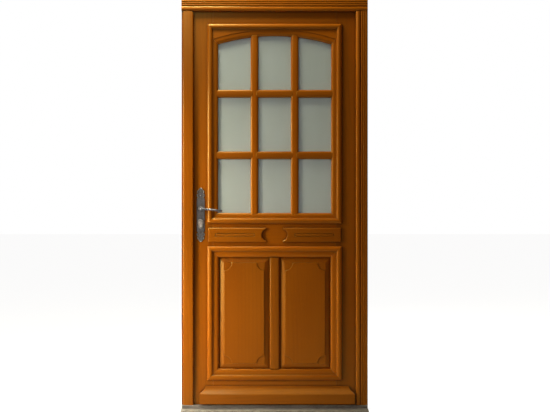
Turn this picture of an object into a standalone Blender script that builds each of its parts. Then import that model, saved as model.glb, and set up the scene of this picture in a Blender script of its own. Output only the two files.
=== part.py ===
"""Panelled and glazed wooden front door in its frame.

The outside of the door faces -Y, its hinges are at +X on the inside, and the leaf opens
inwards. The origin is at the middle of the threshold's underside. Lengths are in metres.
"""
import math

import bmesh
import bpy
from mathutils import Vector

# Driving dimensions of the whole door
FRAME_WIDTH = 0.980
FRAME_HEIGHT = 2.160
FRAME_FACE = 0.062
FRAME_PROUD = 0.020
LEAF_THICKNESS = 0.056
STOP_LAP = 0.012
LEAF_GAP = 0.004
SEAL_GAP = 0.003
FIT = 0.0003
OVERRUN = 0.002

# Threshold
THRESHOLD_HEIGHT = 0.025
THRESHOLD_FLOOR = 0.008
TREAD_DEPTH = 0.055
NOSE_RADIUS = 0.004
TREAD_RIB = 0.0012
TREAD_RIB_PITCH = 0.009
TREAD_RIBS = 4
UPSTAND_LIP = 0.004
UPSTAND_GROOVE = 0.006

# Moulded faces of head, jamb and cover strip
JAMB_BEAD_WIDTH = 0.026
JAMB_BEAD_DEPTH = 0.007
REED_WIDTH = 0.011
REED_DEPTH = 0.004
REEDS = 3
STRIP_THICKNESS = 0.012
STRIP_WIDTH = 0.054
STRIP_ROUND = 0.005
STRIP_HEAD_RADIUS = 0.014
HEAD_TENON_LENGTH = 0.030
HEAD_TENON_MARGIN = 0.008

# Seals
SEAL_WIDTH = 0.008
SEAL_SET_BACK = 0.002

# Stiles and rails
STILE_WIDTH = 0.115
TOP_RAIL_HEIGHT = 0.107
MID_RAIL_HEIGHT = 0.179
BOTTOM_RAIL_HEIGHT = 0.170
LIGHT_BOTTOM = 1.009
MUNTIN_WIDTH = 0.053
MUNTIN_SET_BACK = 0.001
MUNTIN_ROUND = 0.009
TENON_LENGTH = 0.024
TENON_THICKNESS = 0.016
TENON_SHOULDER = 0.030
MUNTIN_TENON_LENGTH = 0.028

# Mouldings planted round the light and the panels
BEAD_WIDTH = 0.030
BEAD_HEIGHT = 0.014
BEAD_EDGE = 0.005
BEAD_CROWN_SHARE = 0.48
FILLET_SHARE = 0.42
QUIRK_WIDTH = 0.002
QUIRK_HEIGHT = 0.0045
FILLET_HEIGHT = 0.002
LIGHT_INNER_WIDTH = 0.026
PANEL_INNER_WIDTH = 0.030
OVOLO_DROP = 0.012
ARCH_PROFILE_WIDTH = 0.033
ARCH_RADIUS = 1.032
CROWN_MARGIN = 0.032

# Glass and glazing bars
GLASS_FACE = 0.015
GLASS_THICKNESS = 0.004
SPACER_THICKNESS = 0.012
SPACER_WIDTH = 0.010
GLASS_EDGE_GAP = 0.0008
SPACER_EDGE_GAP = 0.002
BAR_WIDTH = 0.041
BAR_FACE_WIDTH = 0.016
BAR_HEIGHT = 0.015
BAR_EDGE = 0.004
BAR_LAP = 0.0075
UPRIGHT_BAR_COUNT = 2
CROSS_BAR_COUNT = 2
INNER_BEAD_SIGHT = 0.010

# Raised panels
TONGUE_FACE = 0.015
TONGUE_THICKNESS = 0.014
TONGUE_LENGTH = 0.012
TONGUE_SLACK = 0.0015
BEVEL_WIDTH = 0.028
BEVEL_RISE = 0.011
FIELD_RISE = 0.004
FIELD_ARRIS = 0.0015
SCALLOP_RADIUS = 0.041
BACK_RISE = 0.014

# Raised blocks on the middle rail
BLOCK_GAP = 0.088
BLOCK_HEIGHT = 0.076
BLOCK_THICKNESS = 0.012
BLOCK_OUTSET = 0.005
BLOCK_ARRIS = 0.004
BLOCK_HOLLOW = 0.024
BLOCK_HORN = 0.009
RING_HEIGHT = 0.019
RING_GROOVE = 0.005
RING_DEPTH = 0.003
RING_END = 0.036

# Weatherboard
WEATHER_LEFT_GAP = 0.034
WEATHER_RIGHT_GAP = 0.008
WEATHER_BOTTOM = 0.032
WEATHER_FRONT_HEIGHT = 0.056
WEATHER_HEIGHT = 0.091
WEATHER_DEPTH = 0.036
WEATHER_TOP_DEPTH = 0.006
WEATHER_SWEEP = 0.006
WEATHER_ARRIS = 0.003
DRIP_WIDTH = 0.006
DRIP_DEPTH = 0.004
DRIP_SET_BACK = 0.006

# Hinges
HINGES = 3
HINGE_LENGTH = 0.140
HINGE_END_DISTANCE = 0.250
KNUCKLE_RADIUS = 0.008
KNUCKLE_CLEARANCE = 0.001
PIN_RADIUS = 0.004
PIN_LENGTH = 0.055
HINGE_PLATE = 0.0025
HINGE_PLATE_PROUD = 0.001
HINGE_PLATE_DEPTH = 0.034
KNUCKLE_WASHER = 0.0005
KNUCKLE_CHAMFER = 0.002

# Lock, latch and cylinder
BACKSET = 0.050
SPINDLE_HEIGHT = 1.055
CYLINDER_DROP = 0.070
SPINDLE_SIZE = 0.008
CASE_THICKNESS = 0.016
CASE_LENGTH = 0.085
CASE_ABOVE = 0.050
CASE_BELOW = 0.110
FACEPLATE_THICKNESS = 0.003
FACEPLATE_WIDTH = 0.022
FACEPLATE_ABOVE = 0.080
FACEPLATE_BELOW = 0.160
FOLLOWER_RADIUS = 0.0065
SPINDLE_BORE_RADIUS = 0.0095
BOLT_THICKNESS = 0.012
LATCH_HEIGHT = 0.022
LATCH_LIFT = 0.020
LATCH_THROW = 0.012
LATCH_LENGTH = 0.047
LATCH_NOSE = 0.002
DEADBOLT_HEIGHT = 0.024
DEADBOLT_DROP = 0.042
DEADBOLT_LENGTH = 0.060
CHANNEL_SLACK = 0.003
CYLINDER_RADIUS = 0.0085
CYLINDER_WEB = 0.010
CYLINDER_TALL = 0.033
CYLINDER_PROUD = 0.0035
PLUG_RADIUS = 0.0062
PLUG_PROUD = 0.0008
KEYWAY_WIDTH = 0.0022
KEYWAY_HEIGHT = 0.0085
KEYWAY_DEPTH = 0.006
CAM_THICKNESS = 0.008
CAM_REACH = 0.012
CAM_WIDTH = 0.007
CAM_CLEARANCE = 0.0010
STRIKE_THICKNESS = 0.002
STRIKE_WIDTH = 0.028
STRIKE_MARGIN = 0.038
STRIKE_HOLE_MARGIN = 0.0015
BOLT_POCKET_DEPTH = 0.020

# Handles
PLATE_WIDTH = 0.043
PLATE_HEIGHT = 0.284
PLATE_ABOVE = 0.112
PLATE_THICKNESS = 0.0035
PLATE_LOBE_HEIGHT = 0.056
PLATE_PIERCING = 0.0022
RIM_HEIGHT = 0.0028
RIM_WIDTH = 0.0080
ROSE_RADIUS = 0.0145
ROSE_HEIGHT = 0.003
NECK_RADIUS = 0.008
NECK_CLEARANCE = 0.0004
NECK_INSET = 0.004
LEVER_STAND_OFF = 0.044
LEVER_LENGTH = 0.112
LEVER_DROOP = 0.012
LEVER_RETURN = 0.012
LEVER_BEND = 0.014
LEVER_HEIGHT = 0.0100
LEVER_DEPTH = 0.0080
LEVER_TIP_HEIGHT = 0.0105
SOCKET_DEPTH = 0.024

# Numbers of facets
ARCH_FACETS = 20
ROUND_FACETS = 20
SMALL_ROUND_FACETS = 16
QUARTER_FACETS = 4
LEVER_SIDES = 6
BAR_STEPS = 3
WEATHER_STEPS = 5

# Places worked out from the driving dimensions
FRAME_FRONT = -FRAME_PROUD
SIGHT_X = FRAME_WIDTH / 2 - FRAME_FACE
SIGHT_Z = FRAME_HEIGHT - FRAME_FACE
LEAF_X = SIGHT_X + STOP_LAP
LEAF_TOP = SIGHT_Z + STOP_LAP
REBATE_X = LEAF_X + LEAF_GAP
REBATE_Z = LEAF_TOP + LEAF_GAP
LEAF_BOTTOM = THRESHOLD_FLOOR + LEAF_GAP
OPENING_X = LEAF_X - STILE_WIDTH
LIGHT_TOP = LEAF_TOP - TOP_RAIL_HEIGHT
PANEL_TOP = LIGHT_BOTTOM - MID_RAIL_HEIGHT
PANEL_BOTTOM = LEAF_BOTTOM + BOTTOM_RAIL_HEIGHT
LIGHT_SIGHT_X = OPENING_X - LIGHT_INNER_WIDTH
LIGHT_SIGHT_Z = LIGHT_BOTTOM + LIGHT_INNER_WIDTH
ARCH_CROWN = LIGHT_TOP - CROWN_MARGIN
ARCH_CENTRE = ARCH_CROWN - ARCH_RADIUS
MUNTIN_X = MUNTIN_WIDTH / 2
BLOCK_OUTER_X = OPENING_X + BEAD_WIDTH - BLOCK_OUTSET
BLOCK_INNER_X = BLOCK_GAP / 2
RING_OUTER_X = BLOCK_OUTER_X - RING_END
RING_INNER_X = BLOCK_INNER_X + BLOCK_HOLLOW + RING_END
BLOCK_Z = (PANEL_TOP + LIGHT_BOTTOM) / 2
GLASS_BACK = GLASS_FACE + GLASS_THICKNESS
INNER_GLASS_FACE = GLASS_BACK + SPACER_THICKNESS
INNER_GLASS_BACK = INNER_GLASS_FACE + GLASS_THICKNESS
LOCK_EDGE = -LEAF_X
SPINDLE_X = LOCK_EDGE + BACKSET
CYLINDER_Z = SPINDLE_HEIGHT - CYLINDER_DROP
LOCK_Y = LEAF_THICKNESS / 2
BOLT_Y = BOLT_THICKNESS / 2
LATCH_Z = SPINDLE_HEIGHT + LATCH_LIFT
DEADBOLT_Z = SPINDLE_HEIGHT - DEADBOLT_DROP
HINGE_X = (LEAF_X + REBATE_X) / 2
HINGE_Y = LEAF_THICKNESS + KNUCKLE_CLEARANCE + KNUCKLE_RADIUS

WOOD = (0.42, 0.16, 0.035)
DARK_WOOD = (0.34, 0.12, 0.028)
IRON = (0.10, 0.095, 0.09)
STEEL = (0.55, 0.54, 0.52)
NICKEL = (0.72, 0.66, 0.62)
ALUMINIUM = (0.62, 0.58, 0.56)
RUBBER = (0.02, 0.02, 0.02)
GLASS = (0.40, 0.42, 0.37)


def clear_scene():
    """Remove what the scene holds."""
    for item in list(bpy.data.objects):
        bpy.data.objects.remove(item, do_unlink=True)
    for block in (bpy.data.meshes, bpy.data.materials, bpy.data.curves):
        for item in list(block):
            block.remove(item)


def make_material(name, colour, roughness, metallic):
    """A plain principled material in the part's own colour."""
    material = bpy.data.materials.new(name)
    material.use_nodes = True
    shader = material.node_tree.nodes["Principled BSDF"]
    shader.inputs["Base Color"].default_value = (*colour, 1.0)
    shader.inputs["Roughness"].default_value = roughness
    shader.inputs["Metallic"].default_value = metallic
    material.diffuse_color = (*colour, 1.0)
    return material


def wood(name, colour=WOOD):
    return make_material(name, colour, 0.38, 0.0)


def iron(name):
    return make_material(name, IRON, 0.50, 0.9)


def steel(name):
    return make_material(name, STEEL, 0.35, 1.0)


def make_empty(name, location, parent=None):
    """An empty that carries one moving body."""
    empty = bpy.data.objects.new(name, None)
    bpy.context.scene.collection.objects.link(empty)
    empty.location = Vector(location) - (world_place(parent) if parent else Vector())
    empty.parent = parent
    return empty


def world_place(item):
    """World position of an object whose parents are only moved, never turned."""
    place = Vector(item.location)
    while item.parent:
        item = item.parent
        place += Vector(item.location)
    return place


def make_piece(name, mesh_data, material, parent, origin=(0, 0, 0), smooth=None):
    """Turn a bmesh in world coordinates into a named object with its own origin."""
    bmesh.ops.remove_doubles(mesh_data, verts=mesh_data.verts, dist=FIT / 30)
    bmesh.ops.recalc_face_normals(mesh_data, faces=mesh_data.faces)
    bmesh.ops.translate(mesh_data, verts=mesh_data.verts, vec=-Vector(origin))
    mesh = bpy.data.meshes.new(name)
    mesh_data.to_mesh(mesh)
    mesh_data.free()
    mesh.materials.append(material)
    if smooth:
        mesh.shade_smooth()
        mesh.set_sharp_from_angle(angle=math.radians(smooth))
    piece = bpy.data.objects.new(name, mesh)
    bpy.context.scene.collection.objects.link(piece)
    piece.location = Vector(origin) - world_place(parent)
    piece.parent = parent
    return piece


def make_tool(name, mesh_data):
    """A hidden shape that a Boolean reads."""
    bmesh.ops.remove_doubles(mesh_data, verts=mesh_data.verts, dist=FIT / 30)
    bmesh.ops.recalc_face_normals(mesh_data, faces=mesh_data.faces)
    mesh = bpy.data.meshes.new(name)
    mesh_data.to_mesh(mesh)
    mesh_data.free()
    tool = bpy.data.objects.new(name, mesh)
    bpy.context.scene.collection.objects.link(tool)
    tool.hide_render = True
    tool.display_type = "WIRE"
    return tool


def combine(piece, mesh_data, operation, label):
    """Cut a shape from a piece, or join one to it."""
    modifier = piece.modifiers.new(label, "BOOLEAN")
    modifier.operation = operation
    modifier.solver = "EXACT"
    modifier.object = make_tool(piece.name + "_" + label, mesh_data)


def cut(piece, mesh_data, label="cut"):
    combine(piece, mesh_data, "DIFFERENCE", label)


def join(piece, mesh_data, label="join"):
    combine(piece, mesh_data, "UNION", label)


def add_box(mesh_data, low, high):
    """A box between two corners."""
    size = Vector(high) - Vector(low)
    made = bmesh.ops.create_cube(mesh_data, size=1)
    bmesh.ops.scale(mesh_data, verts=made["verts"], vec=size)
    bmesh.ops.translate(mesh_data, verts=made["verts"], vec=(Vector(low) + Vector(high)) / 2)
    return made["verts"]


def box(low, high):
    mesh_data = bmesh.new()
    add_box(mesh_data, low, high)
    return mesh_data


def on_axis(axis, across, up, along):
    """A point from its place in a section and its place along an axis."""
    if axis == "X":
        return Vector((along, across, up))
    if axis == "Y":
        return Vector((across, along, up))
    return Vector((across, up, along))


def add_prism(mesh_data, outline, axis, start, end):
    """Extrude a closed outline along an axis."""
    base = [mesh_data.verts.new(on_axis(axis, a, b, start)) for a, b in outline]
    face = mesh_data.faces.new(base)
    made = bmesh.ops.extrude_face_region(mesh_data, geom=[face])
    top = [item for item in made["geom"] if isinstance(item, bmesh.types.BMVert)]
    bmesh.ops.translate(mesh_data, verts=top, vec=on_axis(axis, 0, 0, end - start))
    return base + top


def prism(outline, axis, start, end):
    mesh_data = bmesh.new()
    add_prism(mesh_data, outline, axis, start, end)
    return mesh_data


def add_rod(mesh_data, centre, radius, axis, start, end, facets=ROUND_FACETS):
    """A round bar along an axis."""
    return add_prism(mesh_data, circle(centre, radius, facets), axis, start, end)


def rod(centre, radius, axis, start, end, facets=ROUND_FACETS):
    return prism(circle(centre, radius, facets), axis, start, end)


def circle(centre, radius, facets=ROUND_FACETS):
    """Corners of a regular outline round a centre."""
    turns = [2 * math.pi * (index + 0.5) / facets for index in range(facets)]
    return [(centre[0] + radius * math.cos(t), centre[1] + radius * math.sin(t)) for t in turns]


def arc(centre, radii, start, end, facets):
    """Points of an elliptical arc, with its angles in degrees and both ends kept."""
    points = []
    for index in range(facets + 1):
        turn = math.radians(start + (end - start) * index / facets)
        across = centre[0] + radii[0] * math.cos(turn)
        points.append((across, centre[1] + radii[1] * math.sin(turn)))
    return points


def add_loft(mesh_data, rings):
    """Join rings of points that have the same count, and cap both ends."""
    loops = [[mesh_data.verts.new(point) for point in ring] for ring in rings]
    for first, second in zip(loops, loops[1:]):
        count = len(first)
        for index in range(count):
            after = (index + 1) % count
            mesh_data.faces.new((first[index], first[after], second[after], second[index]))
    mesh_data.faces.new(list(reversed(loops[0])))
    mesh_data.faces.new(loops[-1])


def loft(rings):
    mesh_data = bmesh.new()
    add_loft(mesh_data, rings)
    return mesh_data


def frame_face_profile():
    """Bead and reeds of the frame's face: distance from the sight edge, and depth."""
    rise = JAMB_BEAD_DEPTH
    points = arc((JAMB_BEAD_WIDTH / 2, FRAME_FRONT + rise), (JAMB_BEAD_WIDTH / 2, rise),
                 180, 360, 2 * QUARTER_FACETS)
    for reed in range(REEDS):
        middle = JAMB_BEAD_WIDTH + (reed + 0.5) * REED_WIDTH
        points += arc((middle, FRAME_FRONT + REED_DEPTH), (REED_WIDTH / 2, REED_DEPTH),
                      180, 360, QUARTER_FACETS)[0 if reed == 0 else 1:]
    points.append((FRAME_FACE, points[-1][1]))
    return points


def build_hinge_jamb(root):
    """Jamb that carries the hinges, with a moulded face and a rebate for the leaf."""
    face = [(SIGHT_X + across, depth) for across, depth in frame_face_profile()]
    edge = FRAME_WIDTH / 2
    outline = face + [(edge, LEAF_THICKNESS), (REBATE_X, LEAF_THICKNESS),
                      (REBATE_X, -SEAL_GAP), (SIGHT_X, -SEAL_GAP)]
    top = SIGHT_Z - FIT
    jamb = make_piece("hinge_jamb", prism(outline, "Z", THRESHOLD_HEIGHT + FIT, top),
                      wood("hinge_jamb_wood"), root, smooth=35)
    finish_jamb(jamb, REBATE_X, edge)
    for height in hinge_heights():
        cut(jamb, hinge_recess(REBATE_X - OVERRUN,
                               REBATE_X + HINGE_PLATE - HINGE_PLATE_PROUD + FIT, height),
            "hinge_recess")


def finish_jamb(jamb, near, far):
    """Foot that fits behind the threshold's upstand, and the tenon into the head."""
    low = min(near, far)
    high = max(near, far)
    foot = box((low, -SEAL_GAP + FIT, THRESHOLD_FLOOR + FIT),
               (high, LEAF_THICKNESS, THRESHOLD_HEIGHT + HEAD_TENON_MARGIN))
    join(jamb, foot, "foot")
    shoulder = box((low, -SEAL_GAP + FIT, SIGHT_Z - HEAD_TENON_MARGIN),
                   (high, LEAF_THICKNESS, REBATE_Z - FIT))
    join(jamb, shoulder, "shoulder")
    join(jamb, head_tenon(near, far, 0), "tenon")


def head_tenon(near, far, slack):
    """Tenon between a jamb and the head, grown by the slack for its mortise."""
    low = min(near, far) + HEAD_TENON_MARGIN - slack
    high = max(near, far) - HEAD_TENON_MARGIN + slack
    return box((low, HEAD_TENON_MARGIN - slack, SIGHT_Z - HEAD_TENON_MARGIN),
               (high, LEAF_THICKNESS - HEAD_TENON_MARGIN + slack,
                REBATE_Z + HEAD_TENON_LENGTH + slack))


def build_lock_jamb(root):
    """Jamb on the lock side. Its face lies lower, under the cover strip."""
    edge = -FRAME_WIDTH / 2
    face = FRAME_FRONT + STRIP_THICKNESS + FIT
    outline = [(edge, face), (-SIGHT_X, face), (-SIGHT_X, -SEAL_GAP), (-REBATE_X, -SEAL_GAP),
               (-REBATE_X, LEAF_THICKNESS), (edge, LEAF_THICKNESS)]
    jamb = make_piece("lock_jamb", prism(outline, "Z", THRESHOLD_HEIGHT + FIT, SIGHT_Z - FIT),
                      wood("lock_jamb_wood", DARK_WOOD), root)
    finish_jamb(jamb, -REBATE_X, edge)
    cut(jamb, strike_blank(FIT), "strike_recess")
    for middle, tall in bolt_holes():
        margin = STRIKE_HOLE_MARGIN
        pocket = box((-REBATE_X - BOLT_POCKET_DEPTH, LOCK_Y - BOLT_Y - margin,
                      middle - tall / 2 - margin),
                     (-REBATE_X + OVERRUN, LOCK_Y + BOLT_Y + margin,
                      middle + tall / 2 + margin))
        cut(jamb, pocket, "bolt_pocket")


def bolt_holes():
    """Middle height and height of the latch and of the deadbolt."""
    return [(LATCH_Z, LATCH_HEIGHT), (DEADBOLT_Z, DEADBOLT_HEIGHT)]


def strike_blank(slack):
    """The strike plate's outline in the rebate wall, grown by the slack."""
    low = DEADBOLT_Z - DEADBOLT_HEIGHT / 2 - STRIKE_MARGIN - slack
    high = LATCH_Z + LATCH_HEIGHT / 2 + STRIKE_MARGIN + slack
    out = OVERRUN if slack else 0
    return box((-REBATE_X - STRIKE_THICKNESS - slack, LOCK_Y - STRIKE_WIDTH / 2 - slack, low),
               (-REBATE_X + out, LOCK_Y + STRIKE_WIDTH / 2 + slack, high))


def build_strike_plate(root):
    plate = make_piece("strike_plate", strike_blank(0), steel("strike_steel"), root)
    for middle, tall in bolt_holes():
        margin = STRIKE_HOLE_MARGIN
        hole = box((-REBATE_X - STRIKE_THICKNESS - OVERRUN, LOCK_Y - BOLT_Y - margin,
                    middle - tall / 2 - margin),
                   (-REBATE_X + OVERRUN, LOCK_Y + BOLT_Y + margin, middle + tall / 2 + margin))
        cut(plate, hole, "hole")


def build_cover_strip(root):
    """Flat strip with rounded arrises planted on the lock jamb."""
    low = -SIGHT_X - STRIP_WIDTH
    round_off = STRIP_ROUND
    back = FRAME_FRONT + STRIP_THICKNESS
    outline = arc((low + round_off, FRAME_FRONT + round_off), (round_off, round_off),
                  180, 270, QUARTER_FACETS)
    outline += arc((-SIGHT_X - round_off, FRAME_FRONT + round_off), (round_off, round_off),
                   270, 360, QUARTER_FACETS)
    outline += [(-SIGHT_X, back), (low, back)]
    top = SIGHT_Z - FIT
    strip = make_piece("lock_cover_strip", prism(outline, "Z", THRESHOLD_HEIGHT + FIT, top),
                       wood("cover_strip_wood"), root, smooth=35)
    for side, edge in ((-1, low), (1, -SIGHT_X)):
        centre = (edge - side * STRIP_HEAD_RADIUS, top - STRIP_HEAD_RADIUS)
        corner = arc(centre, (side * STRIP_HEAD_RADIUS, STRIP_HEAD_RADIUS), 0, 90, QUARTER_FACETS)
        corner += [(centre[0], top + OVERRUN), (edge + side * OVERRUN, top + OVERRUN),
                   (edge + side * OVERRUN, centre[1])]
        cut(strip, prism(corner, "Y", FRAME_FRONT - OVERRUN, back + OVERRUN), "rounded_corner")


def build_head(root):
    """Frame head with the jamb's moulding, running through over both jambs."""
    face = [(depth, SIGHT_Z + across) for across, depth in frame_face_profile()]
    outline = face + [(LEAF_THICKNESS, FRAME_HEIGHT), (LEAF_THICKNESS, REBATE_Z),
                      (-SEAL_GAP, REBATE_Z), (-SEAL_GAP, SIGHT_Z)]
    head = make_piece("frame_head", prism(outline, "X", -FRAME_WIDTH / 2, FRAME_WIDTH / 2),
                      wood("frame_head_wood"), root, smooth=35)
    cut(head, head_tenon(REBATE_X, FRAME_WIDTH / 2, FIT), "mortise_right")
    cut(head, head_tenon(-REBATE_X, -FRAME_WIDTH / 2, FIT), "mortise_left")


def build_threshold(root):
    """Aluminium threshold with a ribbed tread, a grooved upstand and a low inner floor."""
    nose = FRAME_FRONT - TREAD_DEPTH
    floor = THRESHOLD_FLOOR
    outline = [(nose, 0), (nose, floor - NOSE_RADIUS)]
    outline += arc((nose + NOSE_RADIUS, floor - NOSE_RADIUS), (NOSE_RADIUS, NOSE_RADIUS),
                   180, 90, QUARTER_FACETS)[1:]
    for rib in range(TREAD_RIBS):
        start = nose + NOSE_RADIUS + (rib + 0.5) * TREAD_RIB_PITCH
        outline += [(start, floor), (start + TREAD_RIB, floor - TREAD_RIB),
                    (start + 2 * TREAD_RIB, floor - TREAD_RIB), (start + 3 * TREAD_RIB, floor)]
    lip_low = THRESHOLD_HEIGHT - UPSTAND_LIP
    groove = FRAME_FRONT + UPSTAND_GROOVE
    outline += [(FRAME_FRONT + UPSTAND_LIP, floor), (groove, floor + TREAD_RIB),
                (groove, lip_low - TREAD_RIB), (FRAME_FRONT, lip_low),
                (FRAME_FRONT, THRESHOLD_HEIGHT - TREAD_RIB),
                (FRAME_FRONT + TREAD_RIB, THRESHOLD_HEIGHT),
                (-SEAL_GAP, THRESHOLD_HEIGHT), (-SEAL_GAP, floor), (LEAF_THICKNESS, floor),
                (LEAF_THICKNESS, 0)]
    make_piece("threshold", prism(outline, "X", -FRAME_WIDTH / 2, FRAME_WIDTH / 2),
               make_material("threshold_aluminium", ALUMINIUM, 0.35, 1.0), root, smooth=30)


def build_seals(root):
    """Rubber seals between the frame's stop, the threshold's upstand and the leaf."""
    near = SIGHT_X + SEAL_SET_BACK
    far = near + SEAL_WIDTH
    bottom = THRESHOLD_HEIGHT + FIT
    inner_top = SIGHT_Z + SEAL_SET_BACK
    outer_top = inner_top + SEAL_WIDTH
    outline = [(-far, bottom), (-far, outer_top), (far, outer_top), (far, bottom),
               (near, bottom), (near, inner_top), (-near, inner_top), (-near, bottom)]
    rubber = make_material("seal_rubber", RUBBER, 0.85, 0.0)
    make_piece("frame_seal", prism(outline, "Y", -SEAL_GAP + FIT, -FIT), rubber, root)
    top = THRESHOLD_HEIGHT - SEAL_SET_BACK
    strip = box((-SIGHT_X, -SEAL_GAP + FIT, top - SEAL_WIDTH), (SIGHT_X, -FIT, top))
    make_piece("threshold_seal", strip, rubber.copy(), root)


def hinge_heights():
    """Middle heights of the hinges."""
    low = LEAF_BOTTOM + HINGE_END_DISTANCE
    high = LEAF_TOP - HINGE_END_DISTANCE
    return [low + (high - low) * index / (HINGES - 1) for index in range(HINGES)]


def hinge_recess(near, far, height):
    """Space for one hinge plate between two places across the gap."""
    return box((near, LEAF_THICKNESS - HINGE_PLATE_DEPTH - FIT, height - HINGE_LENGTH / 2 - FIT),
               (far, LEAF_THICKNESS + OVERRUN, height + HINGE_LENGTH / 2 + FIT))


def hinge_half(plate_x, height, low, high):
    """Knuckle between two heights, and the shape of the plate that joins it."""
    rings = []
    for level, inset in ((low, KNUCKLE_CHAMFER), (low + KNUCKLE_CHAMFER, 0),
                         (high - KNUCKLE_CHAMFER, 0), (high, KNUCKLE_CHAMFER)):
        ring = circle((HINGE_X, HINGE_Y), KNUCKLE_RADIUS - inset)
        rings.append([Vector((x, y, level)) for x, y in ring])
    bottom = height - HINGE_LENGTH / 2
    top = height + HINGE_LENGTH / 2
    edge = LEAF_THICKNESS - HINGE_PLATE_DEPTH
    tab_low = low + KNUCKLE_CHAMFER
    tab_high = high - KNUCKLE_CHAMFER
    outline = [(edge, bottom), (LEAF_THICKNESS, bottom), (LEAF_THICKNESS, tab_low),
               (HINGE_Y, tab_low), (HINGE_Y, tab_high), (LEAF_THICKNESS, tab_high),
               (LEAF_THICKNESS, top), (edge, top)]
    return loft(rings), prism(outline, "X", plate_x, plate_x + HINGE_PLATE)


def build_hinges(root, leaf):
    """Lift-off hinges: the frame half has the fixed pin, the leaf half the bored knuckle."""
    for index, height in enumerate(hinge_heights()):
        label = str(index + 1)
        centre = (HINGE_X, HINGE_Y, height)
        low = height - HINGE_LENGTH / 2
        high = height + HINGE_LENGTH / 2
        knuckle, plate = hinge_half(REBATE_X - HINGE_PLATE_PROUD, height,
                                    low, height - KNUCKLE_WASHER / 2)
        half = make_piece("frame_hinge_" + label, knuckle, steel("frame_hinge_steel"), root,
                          centre, smooth=35)
        join(half, plate, "plate")
        pin = rod((HINGE_X, HINGE_Y), PIN_RADIUS, "Z", height - KNUCKLE_RADIUS,
                  height + PIN_LENGTH, SMALL_ROUND_FACETS)
        join(half, pin, "pin")
        knuckle, plate = hinge_half(LEAF_X + HINGE_PLATE_PROUD - HINGE_PLATE, height,
                                    height + KNUCKLE_WASHER / 2, high)
        half = make_piece("leaf_hinge_" + label, knuckle, steel("leaf_hinge_steel"), leaf,
                          centre, smooth=35)
        join(half, plate, "plate")
        bore = rod((HINGE_X, HINGE_Y), round_clear(PIN_RADIUS, SMALL_ROUND_FACETS), "Z",
                   height - OVERRUN, height + PIN_LENGTH + OVERRUN, SMALL_ROUND_FACETS)
        cut(half, bore, "bore")


def round_clear(radius, facets):
    """Radius of a faceted bore that clears a round piece all the way round."""
    return (radius + FIT) / math.cos(math.pi / facets)


def rail_tenon(low, high, side, slack):
    """Tenon of a rail into a stile, grown by the slack for its mortise."""
    near = OPENING_X - TENON_SHOULDER / 2
    far = OPENING_X + TENON_LENGTH + slack
    half = TENON_THICKNESS / 2 + slack
    ends = sorted((side * near, side * far))
    return box((ends[0], LOCK_Y - half, low + TENON_SHOULDER - slack),
               (ends[1], LOCK_Y + half, high - TENON_SHOULDER + slack))


def rails():
    """Lower and upper edge of each rail."""
    return {"bottom_rail": (LEAF_BOTTOM, PANEL_BOTTOM),
            "mid_rail": (PANEL_TOP, LIGHT_BOTTOM),
            "top_rail": (LIGHT_TOP, LEAF_TOP)}


def groove(low, high):
    """Space for the panels' tongues, between two corners in the plane of the door."""
    return box((low[0], TONGUE_FACE - FIT, low[1]),
               (high[0], TONGUE_FACE + TONGUE_THICKNESS + FIT, high[1]))


def build_stile(name, side, leaf, colour):
    """One of the leaf's two uprights, with its mortises and its groove for the panel."""
    ends = sorted((side * OPENING_X, side * LEAF_X))
    stile = make_piece(name, box((ends[0], 0, LEAF_BOTTOM), (ends[1], LEAF_THICKNESS, LEAF_TOP)),
                       wood(name + "_wood", colour), leaf)
    ends = sorted((side * (OPENING_X - OVERRUN), side * (OPENING_X + TONGUE_LENGTH)))
    cut(stile, groove((ends[0], PANEL_BOTTOM - TONGUE_LENGTH),
                      (ends[1], PANEL_TOP + TONGUE_LENGTH)), "panel_groove")
    for rail, (low, high) in rails().items():
        cut(stile, rail_tenon(low, high, side, FIT), rail + "_mortise")
    return stile


def build_rails(leaf):
    """Rails with a tenon at each end, grooved where they hold the panels."""
    end = OPENING_X - FIT
    for name, (low, high) in rails().items():
        rail = make_piece(name, box((-end, 0, low), (end, LEAF_THICKNESS, high)),
                          wood(name + "_wood"), leaf)
        join(rail, rail_tenon(low, high, -1, 0), "left_tenon")
        join(rail, rail_tenon(low, high, 1, 0), "right_tenon")
        if name == "mid_rail":
            cut(rail, groove((-OPENING_X, low - OVERRUN), (OPENING_X, low + TONGUE_LENGTH)),
                "panel_groove")
            cut(rail, muntin_tenon(low, 1, FIT), "muntin_mortise")
        if name == "bottom_rail":
            cut(rail, groove((-OPENING_X, high - TONGUE_LENGTH), (OPENING_X, high + OVERRUN)),
                "panel_groove")
            cut(rail, muntin_tenon(high, -1, FIT), "muntin_mortise")


def muntin_tenon(edge, side, slack):
    """Tenon of the muntin past a rail's edge, grown by the slack for its mortise."""
    half = MUNTIN_X - TONGUE_LENGTH + slack
    deep = TENON_THICKNESS / 2 + slack
    ends = sorted((edge - side * MUNTIN_TENON_LENGTH,
                   edge + side * (MUNTIN_TENON_LENGTH + slack)))
    return box((-half, LOCK_Y - deep, ends[0]), (half, LOCK_Y + deep, ends[1]))


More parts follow.
